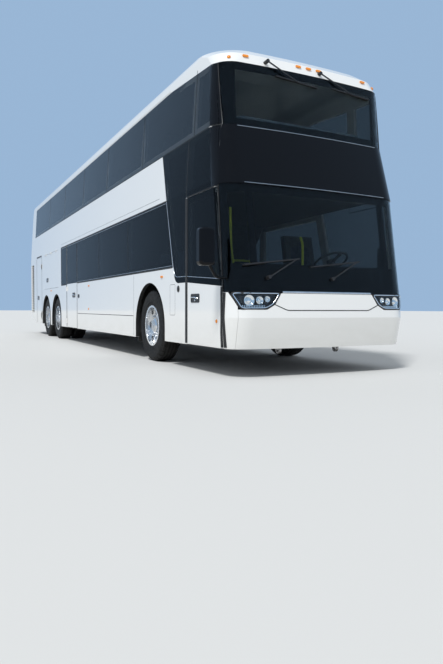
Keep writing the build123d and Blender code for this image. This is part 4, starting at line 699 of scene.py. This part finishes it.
join(signal_lens, lens_place.outputs["Z"], lens_bands.inputs["Value"])
band_colours = add_node(signal_lens, "ShaderNodeValToRGB")
bands = band_colours.color_ramp
bands.interpolation = "CONSTANT"
bands.elements[0].color = (*TAIL_RED, 1)
bands.elements[1].position = CLEAR_FROM
bands.elements[1].color = (*TAIL_CLEAR, 1)
bands.elements.new(AMBER_FROM).color = (*AMBER, 1)
bands.elements.new(RED_FROM).color = (*TAIL_RED, 1)
join(signal_lens, lens_bands.outputs["Result"], band_colours.inputs["Fac"])
at_tail = add_node(signal_lens, "ShaderNodeMath", operation="LESS_THAN")
at_tail.inputs[1].default_value = TAIL_X
join(signal_lens, lens_place.outputs["X"], at_tail.inputs[0])
lens_colour = blend(signal_lens, at_tail.outputs[0], amber_tone, band_colours.outputs["Color"])
join(signal_lens, lens_colour, shader_of(signal_lens).inputs["Base Color"])
relief(signal_lens, 220.0, 0.0005)
paint(signal_lens, "signal_lamps")

# Small round lamps. Domed amber lenses on thin seats: one low on the entry door, one on each side's
# skirt and one at each front corner of the roof.
MARKER = ((0.022, -0.004), (0.022, 0.003), (0.0195, 0.0045), (0.016, 0.009), (0.008, 0.0115), (0, 0.012))
DOOR_MARKER, SKIRT_MARKER = (6.449, 0.638), (0.56, 0.76)
ROOF_MARKER_Y, ROOF_MARKER_Z = 1.07, 3.700
amber = finish("amber_lens", AMBER, 0.15)
mottle(amber, "Base Color", 160.0, (0.70, 0.19, 0.012), AMBER_BRIGHT)
door_marker = bmesh.new()
turned(door_marker, *on_side(-1, *DOOR_MARKER), MARKER, 24)
fit_piece("door_marker_lamp", door_marker, amber, "entry_door")
body_markers = bmesh.new()
for side in (-1, 1):
    turned(body_markers, *on_side(side, *SKIRT_MARKER), MARKER, 24)
    turned(body_markers, *on_end(1, side * ROOF_MARKER_Y, ROOF_MARKER_Z), MARKER, 24)
fit_piece("body_marker_lamps", body_markers, amber)

# Handles. Each door and hatch has a black plate with a recessed grip and a chromed lever, screwed
# flush to the panel; an oval plate beside the middle door holds its outside switch.
PLATE_SINK, PLATE_BEVEL = 0.004, 0.0015
PLATE_SIZE, PLATE_RISE, GRIP_DEPTH = (0.254, 0.108, 0.024), 0.006, 0.005
SWITCH_PLACE, SWITCH_SIZE, SWITCH_RISE = (-0.31, 1.04), (0.150, 0.080, 0.036), 0.005
SWITCH_GRIP = 0.004
GRIP_EDGE, GRIP_FOOT = 0.012, 0.016
LEVER = round_section(0.009)
LEVER_LINE = ((-0.085, 0.001, 0.012), (-0.078, 0.014, 0.012), (0.02, 0.017, 0.008), (0.078, 0.014, -0.002),
              (0.085, 0.001, -0.003))
LOCK = ((0.013, 0), (0.013, 0.006), (0.010, 0.008), (0, 0.008))
LOCK_OUT, LOCK_DROP = 0.001, 0.026
HANDLES = (
    # body, side, x, z
    ("entry_door", -1, 5.856, 0.909), ("mid_door", -1, -0.77, 1.07),
    ("luggage_door_right", -1, -3.96, 1.53), ("luggage_door_left", 1, -3.96, 1.53),
    ("rear_hatch_right", -1, -5.41, 1.07), ("rear_hatch_left", 1, -5.41, 1.07),
)
plate_black = finish("handle_plate_black", (0.018, 0.018, 0.019), 0.4)
mottle(plate_black, "Roughness", 80.0, 0.32, 0.5)
chrome = finish("handle_chrome", (0.80, 0.81, 0.82), 0.14, 1.0)
mottle(chrome, "Roughness", 30.0, 0.09, 0.24)


def plate(mesh, place, facing, outline, rise, grip=0.0):
    """A flat plate with bevelled edges, laid on the skin; grip is the depth of the hollow in it."""
    across = Vector((0, 0, 1)).cross(facing).normalized()
    upward = facing.cross(across)
    reach_u = max(abs(u) for u, _ in outline)
    reach_v = max(abs(v) for _, v in outline)
    levels = [(-PLATE_SINK, 0.0), (rise - PLATE_BEVEL, 0.0), (rise, PLATE_BEVEL)]
    if grip:
        levels += [(rise, GRIP_EDGE), (rise - grip, GRIP_FOOT)]
    rings = []
    for out, inward in levels:
        share_u, share_v = 1 - inward / reach_u, 1 - inward / reach_v
        rings.append([mesh.verts.new(place + across * u * share_u + upward * v * share_v + facing * out)
                      for u, v in outline])
    for here, there in zip(rings, rings[1:]):
        wall(mesh, here, there)
    mesh.faces.new(list(reversed(rings[0])))
    mesh.faces.new(rings[-1])


def outline_of(width, height, rounding):
    """A rectangle with rounded corners, as (across, up)."""
    half_w, half_h = width / 2, height / 2
    corners = ((-half_w, -half_h), (half_w, -half_h), (half_w, half_h), (-half_w, half_h))
    return softened(corners, rounding, closed=True)[:-1]


for body, side, x, z in HANDLES:
    place, _ = on_side(side, x, z)
    outward = Vector((0, side, 0))
    handle_plate = bmesh.new()
    plate(handle_plate, place, outward, outline_of(*PLATE_SIZE), PLATE_RISE, GRIP_DEPTH)
    fit_piece(f"{body}_handle_plate", handle_plate, plate_black, body)
    lever = bmesh.new()
    lever_line = [place + Vector((along, side * out, up)) for along, out, up in LEVER_LINE]
    bar(lever, lever_line, [Vector((0, 0, 1))] * len(lever_line), LEVER)
    turned(lever, place + Vector((0, side * LOCK_OUT, -LOCK_DROP)), outward, LOCK, 20)
    fit_piece(f"{body}_handle_lever", lever, chrome, body)
switch_plate = bmesh.new()
place, _ = on_side(-1, *SWITCH_PLACE)
plate(switch_plate, place, Vector((0, -1, 0)), outline_of(*SWITCH_SIZE), SWITCH_RISE, SWITCH_GRIP)
fit_piece("door_switch_plate", switch_plate, plate_black)

# Fuel filler. On each side a round black cap in a shallow cup, and beside it a flush flap whose edge
# shows as a thin dark line.
FILLER_PLACE = (5.317, 1.037)
FILLER_CAP = ((0.044, -0.004), (0.044, 0.003), (0.040, 0.005), (0.034, 0.0035), (0.030, 0.0035),
              (0.028, 0.009), (0.024, 0.011), (0, 0.011))
FUEL_FLAP = ((5.025, 0.693), (5.204, 0.693), (5.204, 1.10), (5.025, 1.10))
FUEL_FLAP_EDGE = lip(0.005, 0.0006, JOINT_SINK)
filler = bmesh.new()
for side in (-1, 1):
    turned(filler, *on_side(side, *FILLER_PLACE), FILLER_CAP)
    strip(filler, on_side, side, FUEL_FLAP, FUEL_FLAP_EDGE, 0.02, closed=True)
fit_piece("fuel_filler", filler, plate_black)

# Chassis. A welded steel ladder frame with a raised rear part, plastic wheel housings and the arms
# of the entry door, all under black paint that road dirt has turned brown grey.
chassis_black = finish("black_chassis_paint", (0.022, 0.022, 0.024), 0.5)
mottle(chassis_black, "Base Color", 6.0, (0.016, 0.016, 0.017), (0.05, 0.047, 0.042))
mottle(chassis_black, "Roughness", 11.0, 0.42, 0.7)
relief(chassis_black, 120.0, 0.0004)
paint(chassis_black, "chassis_frame", "rear_frame", "wheel_housings", "entry_door_arms")

# Axles. Cast and forged steel beams and knuckles under the frame, and the plain block of the engine,
# with a skin of rust and oily dirt.
cast_iron = finish("cast_iron", (0.05, 0.05, 0.05), 0.6, 0.6)
mottle(cast_iron, "Base Color", 14.0, (0.03, 0.028, 0.027), (0.085, 0.075, 0.066))
relief(cast_iron, 260.0, 0.0006)
paint(cast_iron, "front_axle", "rear_axles", "knuckle_left", "knuckle_right", "engine")

# Tyres. Radial tyres with four grooves round the tread and cut shoulder blocks, moulded with rings
# on the sidewall where they are thickest. The drive axle has two on each side.
SIDES = {"left": 1, "right": -1}
WHEEL_Y, TWIN_Y = 1.116, 0.776
TREAD_PITCHES = 32
# Columns of a pitch: its share of the turn, and whether the slot between two blocks is cut there.
PITCH_COLUMNS = ((0.0, False), (0.78, False), (0.81, True), (0.97, True))
SLOT_DEPTH = 0.009
SHOULDER_FROM, SHOULDER_TO, SHOULDER_RADIUS = 0.0785, 0.126, 0.50
HALF_TREAD = ((0.0, 0.525), (0.021, 0.525), (0.023, 0.513), (0.031, 0.513), (0.033, 0.525), (0.066, 0.5248),
              (0.068, 0.5125), (0.076, 0.5125), (0.079, 0.5242), (0.104, 0.5230), (0.117, 0.5200),
              (0.1245, 0.506), (0.1380, 0.4905), (0.1420, 0.474), (0.1442, 0.4725), (0.1445, 0.466),
              (0.1432, 0.4645), (0.1455, 0.430), (0.1458, 0.395), (0.1425, 0.360), (0.1442, 0.3585),
              (0.1440, 0.350), (0.1405, 0.348), (0.1335, 0.312), (0.1245, 0.2885))
INSIDE = ((0.108, 0.291), (0.124, 0.350), (0.130, 0.430), (0.116, 0.485), (0.060, 0.502), (0.0, 0.504))
tyre_ring = [(-across, radius) for across, radius in reversed(HALF_TREAD[1:])] + list(HALF_TREAD)
tyre_ring += list(INSIDE) + [(-across, radius) for across, radius in reversed(INSIDE[:-1])]
tyre_rubber = finish("tyre_rubber", (0.018, 0.018, 0.018), 0.7)
shader_of(tyre_rubber).inputs["Specular IOR Level"].default_value = 0.25
mottle(tyre_rubber, "Base Color", 5.0, (0.008, 0.008, 0.008), (0.020, 0.019, 0.018))
mottle(tyre_rubber, "Roughness", 22.0, 0.6, 0.85)
relief(tyre_rubber, 420.0, 0.0003)


def add_tyre(mesh, x, y):
    """One tyre, its grooves and blocks cut in the tread."""
    rings = []
    for pitch in range(TREAD_PITCHES):
        for share, slotted in PITCH_COLUMNS:
            angle = tau * (pitch + share) / TREAD_PITCHES
            ring = []
            for across, radius in tyre_ring:
                in_shoulder = SHOULDER_FROM < abs(across) < SHOULDER_TO and radius > SHOULDER_RADIUS
                reach = radius - SLOT_DEPTH if slotted and in_shoulder else radius
                place = (x + reach * sin(angle), y + across, WHEEL_Z + reach * cos(angle))
                ring.append(mesh.verts.new(place))
            rings.append(ring)
    for here, there in zip(rings, rings[1:] + rings[:1]):
        wall(mesh, here, there)


for axle, axle_x in AXLES.items():
    for side_name, side in SIDES.items():
        tyres = bmesh.new()
        add_tyre(tyres, axle_x, side * WHEEL_Y)
        if axle == "drive":
            add_tyre(tyres, axle_x, side * TWIN_Y)
        tyre = fit_piece(f"{axle}_{side_name}_treaded_tyre", tyres, tyre_rubber,
                         f"wheel_{axle}_{side_name}")
        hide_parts(f"tyre_{axle}_{side_name}")

# Rims. Forged alloy discs with ten hand holes, polished and a little dull from brake dust near the
# hub, on ten capped nuts round a plain hub cover, with the stem of the valve further out.
NUTS, NUT_CIRCLE = 10, 0.1675
NUT = ((0.0175, -0.006), (0.0175, 0.018), (0.0150, 0.021), (0.0118, 0.021), (0.0115, 0.030), (0.0085, 0.034),
       (0, 0.035))
HUB_COVER = ((0.122, -0.01), (0.122, 0.006), (0.117, 0.010), (0.098, 0.012), (0.092, 0.020), (0.088, 0.048),
             (0.078, 0.058), (0.030, 0.061), (0.026, 0.066), (0, 0.067))
HUB_SEAT = 0.126
VALVE = ((0.006, -0.004), (0.006, 0.024), (0.0045, 0.027), (0, 0.028))
VALVE_CIRCLE = 0.262
RIM_SIGHT = 2.0
rim_alloy = finish("polished_rim_alloy", (0.84, 0.85, 0.86), 0.22, 1.0)
mottle(rim_alloy, "Roughness", 12.0, 0.15, 0.34)
mottle(rim_alloy, "Base Color", 7.0, (0.72, 0.72, 0.72), (0.88, 0.89, 0.90))
hub_alloy = finish("hub_alloy", (0.62, 0.63, 0.64), 0.3, 1.0)
mottle(hub_alloy, "Roughness", 25.0, 0.22, 0.42)
mottle(hub_alloy, "Base Color", 16.0, (0.50, 0.50, 0.50), (0.70, 0.71, 0.72))


def on_rim(rim, side, x, z):
    """The outermost place of a rim at this x and z."""
    return rim.ray_cast(Vector((x, side * RIM_SIGHT, z)), Vector((0, -side, 0)))[0]


for axle, axle_x in AXLES.items():
    for side_name, side in SIDES.items():
        rim_name = f"rim_{axle}_{side_name}"
        paint(rim_alloy, rim_name)
        rim = surface_of(rim_name)
        axis = Vector((0, side, 0))
        fittings = bmesh.new()
        for n in range(NUTS):
            angle = tau * (n + 0.5) / NUTS
            seat = on_rim(rim, side, axle_x + NUT_CIRCLE * cos(angle), WHEEL_Z + NUT_CIRCLE * sin(angle))
            turned(fittings, seat, axis, NUT, 6)
        hub_y = on_rim(rim, side, axle_x + HUB_SEAT, WHEEL_Z).y
        turned(fittings, Vector((axle_x, hub_y, WHEEL_Z)), axis, HUB_COVER, 40)
        turned(fittings, on_rim(rim, side, axle_x + VALVE_CIRCLE, WHEEL_Z), axis, VALVE, 10)
        fit_piece(f"{axle}_{side_name}_hub_and_nuts", fittings, hub_alloy,
                  f"wheel_{axle}_{side_name}", 30)

# Mud flaps. Black rubber sheets, each of four ribbed widths side by side, hang behind the front and
# the tag wheels and bend back towards the foot.
FLAPS_X = (3.530, -4.780)
FLAP_WIDTHS_Y = (0.99, 1.06, 1.13, 1.20)
FLAP_TOP, FLAP_DROP, FLAP_SWAY = 0.62, 0.36, 0.02
FLAP_WIDTH = ((-0.035, 0), (-0.035, 0.006), (-0.006, 0.006), (0, 0.010), (0.006, 0.006), (0.035, 0.006),
              (0.035, 0))
flap_rubber = finish("mud_flap_rubber", (0.02, 0.02, 0.02), 0.8)
mottle(flap_rubber, "Base Color", 12.0, (0.014, 0.014, 0.014), (0.05, 0.046, 0.04))
flaps = bmesh.new()
for flap_x in FLAPS_X:
    for side in (-1, 1):
        for flap_y in FLAP_WIDTHS_Y:
            hang = [Vector((flap_x - FLAP_SWAY * share * share, side * flap_y, FLAP_TOP - FLAP_DROP * share))
                    for share in (0.0, 0.35, 0.7, 1.0)]
            bar(flaps, hang, [Vector((1, 0, 0))] * len(hang), FLAP_WIDTH)
fit_piece("mud_flaps", flaps, flap_rubber)

# Saloon. Floors, stairs, bulkheads and the driver's place, screwed to the frame, in grained grey
# plastic and vinyl.
saloon_grey = finish("saloon_grey_plastic", (0.10, 0.10, 0.105), 0.65)
mottle(saloon_grey, "Base Color", 20.0, (0.085, 0.085, 0.09), (0.13, 0.13, 0.135))
relief(saloon_grey, 500.0, 0.0003)
paint(saloon_grey, "lower_floor", "upper_floor", "stairs", "cab", "bulkheads")

# Seats. Foam cushions, backs and headrests in blue grey cloth, blown up a little by cloth simulation,
# on dark steel frames with an armrest at the aisle.
SEAT_HALF = 0.196
SEAT_PARTS = (
    # cushion, back and headrest: four corners (x, z) seen from the side, and its share of the width
    # at the first two and at the last two
    ((0.030, 0.352), (0.425, 0.362), (0.428, 0.445), (0.045, 0.428), 1.0, 1.0),
    ((-0.068, 0.372), (0.034, 0.432), (-0.088, 0.930), (-0.168, 0.925), 1.0, 0.93),
    ((-0.160, 0.905), (-0.092, 0.915), (-0.124, 1.062), (-0.188, 1.058), 0.66, 0.58),
)
PAD_ROUNDING = 0.022
PAD_CORNER = 0.5
SEAT_VOXEL = 0.012
FILL_PRESSURE = 4.0
FILL_MOMENTS = 20
SWELL = 0.012
SEAT_DETAIL = 0.16
ROW_PITCH = 0.790
UPPER_ROWS, UPPER_FRONT_X = 14, 5.150
LOWER_ROWS, LOWER_REAR_X = 4, {1: -1.780, -1: 0.100}
UPPER_FLOOR, LOWER_FLOOR, CAB_FLOOR = 2.320, 0.460, 0.760
STAIRWELL = (1.060, 3.650)
SEAT_OFFSETS = (0.508, 0.922)
LEG_X, LEGS_Y, LEG_HEIGHT = 0.19, (0.44, 0.99), 0.34
LEG = ((-0.10, -0.02), (-0.10, 0.02), (0.10, 0.02), (0.10, -0.02))
ARM_Y = 0.302
ARM_LINE = ((-0.07, 0.56), (-0.04, 0.60), (0.22, 0.61), (0.26, 0.58), (0.26, 0.40))
ARM = round_section(0.014, 8)
DRIVER_SIZE, DRIVER_PLACE = (1.13, 1.30, 1.05), (5.338, 0.640, CAB_FLOOR - 0.012)


def seat_shell():
    """The closed forms of one seat, a little smaller than the filled pads."""
    mesh = bmesh.new()
    for *corners, foot_width, head_width in SEAT_PARTS:
        widths = (foot_width, foot_width, head_width, head_width)
        rows = []
        for across in (-1, -0.5, 0, 0.5, 1):
            rows.append([mesh.verts.new((x, across * SEAT_HALF * width, z))
                         for (x, z), width in zip(corners, widths)])
        for here, there in zip(rows, rows[1:]):
            wall(mesh, here, there)
        mesh.faces.new(rows[0])
        mesh.faces.new(list(reversed(rows[-1])))
    bmesh.ops.recalc_face_normals(mesh, faces=mesh.faces)
    corner_edges = [edge for edge in mesh.edges if edge.calc_face_angle(0) > PAD_CORNER]
    bmesh.ops.bevel(mesh, geom=corner_edges, offset=PAD_ROUNDING, segments=3, affect="EDGES")
    return mesh


def settle(piece):
    """Apply what the modifiers of a piece have made."""
    shaped = piece.evaluated_get(bpy.context.evaluated_depsgraph_get())
    data = bpy.data.meshes.new_from_object(shaped)
    piece.modifiers.clear()
    piece.data = data


def filled(piece):
    """Fill a pad: an even mesh, cloth under pressure, and a cap on how far it swells."""
    even = piece.modifiers.new("even_mesh", "REMESH")
    even.mode = "VOXEL"
    even.voxel_size = SEAT_VOXEL
    settle(piece)
    before = [vertex.co.copy() for vertex in piece.data.vertices]
    cloth = piece.modifiers.new("filling", "CLOTH")
    cloth.settings.use_pressure = True
    cloth.settings.uniform_pressure_force = FILL_PRESSURE
    cloth.settings.effector_weights.gravity = 0.0
    for moment in range(1, FILL_MOMENTS + 1):
        scene.frame_set(moment)
    settle(piece)
    scene.frame_set(1)
    for vertex, start in zip(piece.data.vertices, before):
        moved = vertex.co - start
        if moved.length > SWELL:
            vertex.co = start + moved.normalized() * SWELL
    fewer = piece.modifiers.new("fewer_faces", "DECIMATE")
    fewer.ratio = SEAT_DETAIL
    settle(piece)


seat_cloth = finish("woven_seat_cloth", (0.06, 0.065, 0.09), 0.9)
shader_of(seat_cloth).inputs["Sheen Weight"].default_value = 0.3
mottle(seat_cloth, "Base Color", 34.0, (0.035, 0.04, 0.06), (0.10, 0.115, 0.16), (1, 1, 0.4))
weave = add_node(seat_cloth, "ShaderNodeTexWave", Scale=330.0, Distortion=1.0, Detail=2.0,
                 bands_direction="DIAGONAL")
join(seat_cloth, place_of(seat_cloth), weave.inputs["Vector"])
weave_bump = add_node(seat_cloth, "ShaderNodeBump", Strength=0.6, Distance=0.0006)
join(seat_cloth, weave.outputs["Fac"], weave_bump.inputs["Height"])
join(seat_cloth, weave_bump.outputs["Normal"], shader_of(seat_cloth).inputs["Normal"])
frame_steel = finish("seat_frame_steel", (0.045, 0.045, 0.048), 0.45, 0.3)
mottle(frame_steel, "Roughness", 18.0, 0.35, 0.6)
pad = bpy.data.objects.new("seat_pad", bpy.data.meshes.new("seat_pad"))
pad_shell = seat_shell()
pad_shell.to_mesh(pad.data)
pad_shell.free()
scene.collection.objects.link(pad)
filled(pad)
upper_rows = [(UPPER_FRONT_X - row * ROW_PITCH, side) for row in range(UPPER_ROWS) for side in (-1, 1)]
upper_rows = [(x, side) for x, side in upper_rows if side < 0 or not STAIRWELL[0] < x < STAIRWELL[1]]
lower_rows = [(rear_x + row * ROW_PITCH, side) for side, rear_x in LOWER_REAR_X.items()
              for row in range(LOWER_ROWS)]
for deck, rows, floor_z in (("upper", upper_rows, UPPER_FLOOR), ("lower", lower_rows, LOWER_FLOOR)):
    pads = bmesh.new()
    legs = bmesh.new()
    for x, side in rows:
        for offset in SEAT_OFFSETS:
            known = len(pads.verts)
            pads.from_mesh(pad.data)
            pads.verts.ensure_lookup_table()
            place = Vector((x, side * offset, floor_z))
            for vertex in pads.verts[known:]:
                vertex.co += place
        for leg_y in LEGS_Y:
            foot = Vector((x + LEG_X, side * leg_y, floor_z))
            bar(legs, [foot, foot + Vector((0, 0, LEG_HEIGHT))], [Vector((0, side, 0))] * 2, LEG)
        arm = [Vector((x + along, side * ARM_Y, floor_z + up)) for along, up in ARM_LINE]
        bar(legs, arm, [Vector((0, 1, 0))] * len(arm), ARM)
    padded_seats = fit_piece(f"{deck}_padded_seats", pads, seat_cloth, sharp=60)
    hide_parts(f"{deck}_seats")
    fit_piece(f"{deck}_seat_frames", legs, frame_steel)
driver_pad = bmesh.new()
driver_pad.from_mesh(pad.data)
bmesh.ops.scale(driver_pad, vec=DRIVER_SIZE, verts=driver_pad.verts)
bmesh.ops.translate(driver_pad, vec=DRIVER_PLACE, verts=driver_pad.verts)
driver_seat = fit_piece("driver_padded_seat", driver_pad, seat_cloth, sharp=60)
bpy.data.objects.remove(pad)

# Grab rails. Bent steel tube in bright yellow plastic coating stands inside the entry door, and a
# grey blue one runs across the upper screen before the front seats.
RAIL_LINES = (
    ((5.560, -0.86, 0.46), (5.560, -0.86, 1.42), (5.560, -0.30, 1.42), (5.560, -0.30, 0.46)),
    ((6.300, -0.02, 0.46), (6.300, -0.02, 1.60), (6.250, -0.02, 1.68)),
    ((6.420, -1.06, 1.26), (6.420, -1.10, 1.50), (6.400, -1.10, 1.95)),
)
RAIL, RAIL_BEND, RAIL_STEP = round_section(0.016), 0.10, 0.25
SCREEN_RAIL_LINE = ((6.20, -0.95, 2.34), (6.20, -0.95, 3.065), (6.20, 0.95, 3.065), (6.20, 0.95, 2.34))
SCREEN_RAIL, SCREEN_BEND, SCREEN_STEP = round_section(0.022, 12), 0.12, 0.2


def bent_tube(mesh, corners, rounding, step, section):
    """A tube bent along a line through corners."""
    line = spaced(softened(corners, rounding), step)
    bar(mesh, line, [Vector((1, 0.01, 0.02))] * len(line), section)


rail_yellow = finish("yellow_rail_coating", (0.55, 0.58, 0.03), 0.4)
mottle(rail_yellow, "Base Color", 15.0, (0.48, 0.50, 0.02), (0.62, 0.64, 0.05))
mottle(rail_yellow, "Roughness", 40.0, 0.3, 0.5)
rails = bmesh.new()
for corners in RAIL_LINES:
    bent_tube(rails, corners, RAIL_BEND, RAIL_STEP, RAIL)
fit_piece("entry_grab_rails", rails, rail_yellow)
rail_grey = finish("rail_grey_blue", (0.24, 0.28, 0.33), 0.45)
mottle(rail_grey, "Base Color", 10.0, (0.20, 0.24, 0.29), (0.28, 0.32, 0.37))
screen_rail = bmesh.new()
bent_tube(screen_rail, SCREEN_RAIL_LINE, SCREEN_BEND, SCREEN_STEP, SCREEN_RAIL)
fit_piece("upper_screen_rail", screen_rail, rail_grey)

# Mirrors. Silvered glass set in gloss black heads, which bent arms carry out beside the front
# corners of the body.
mirror_silver = finish("mirror_silver", (0.85, 0.87, 0.88), 0.02, 1.0)
mottle(mirror_silver, "Roughness", 20.0, 0.015, 0.05)
paint(mirror_silver, "mirror_glass")

# Tow eyes. Rings of bare forged steel under the bumper, dull and a little stained from the weather
# and the road.
bare_steel = finish("bare_steel", (0.4, 0.4, 0.41), 0.45, 1.0)
mottle(bare_steel, "Base Color", 30.0, (0.28, 0.25, 0.22), (0.48, 0.48, 0.49))
relief(bare_steel, 200.0, 0.0003)
paint(bare_steel, "tow_eyes")

# Engine lid. Black louvre strips let the air out, a handle lifts it, and a blank plate for the
# registration is screwed on under them.
REARWARD = Vector((-1, 0, 0))
LOUVRES, LOUVRE_FOOT, LOUVRE_PITCH, LOUVRE_HALF = 7, 1.46, 0.052, 0.72
LID_HANDLE_Z, LID_HANDLE_SIZE = 1.00, (0.20, 0.07, 0.02)
REAR_PLATE_Z, REAR_PLATE_SIZE, REAR_PLATE_RISE = 1.24, (0.52, 0.115, 0.010), 0.005
LOUVRE = ((-0.016, -0.004), (-0.016, 0.002), (0.004, 0.010), (0.016, 0.003), (0.016, -0.004))
louvres = bmesh.new()
for step in range(LOUVRES):
    z = LOUVRE_FOOT + LOUVRE_PITCH * step
    strip(louvres, on_end, -1, ((-LOUVRE_HALF, z), (LOUVRE_HALF, z)), LOUVRE)
fit_piece("engine_louvres", louvres, dull_black, "engine_lid")
lid_handle = bmesh.new()
place, _ = on_end(-1, 0, LID_HANDLE_Z)
plate(lid_handle, place, REARWARD, outline_of(*LID_HANDLE_SIZE), PLATE_RISE, GRIP_DEPTH)
fit_piece("engine_lid_handle", lid_handle, plate_black, "engine_lid")
plate_white = finish("blank_plate_white", (0.72, 0.72, 0.70), 0.4)
mottle(plate_white, "Base Color", 9.0, (0.66, 0.66, 0.63), (0.76, 0.76, 0.74))
rear_plate = bmesh.new()
place, _ = on_end(-1, 0, REAR_PLATE_Z)
plate(rear_plate, place, REARWARD, outline_of(*REAR_PLATE_SIZE), REAR_PLATE_RISE)
fit_piece("blank_rear_plate", rear_plate, plate_white, "engine_lid")
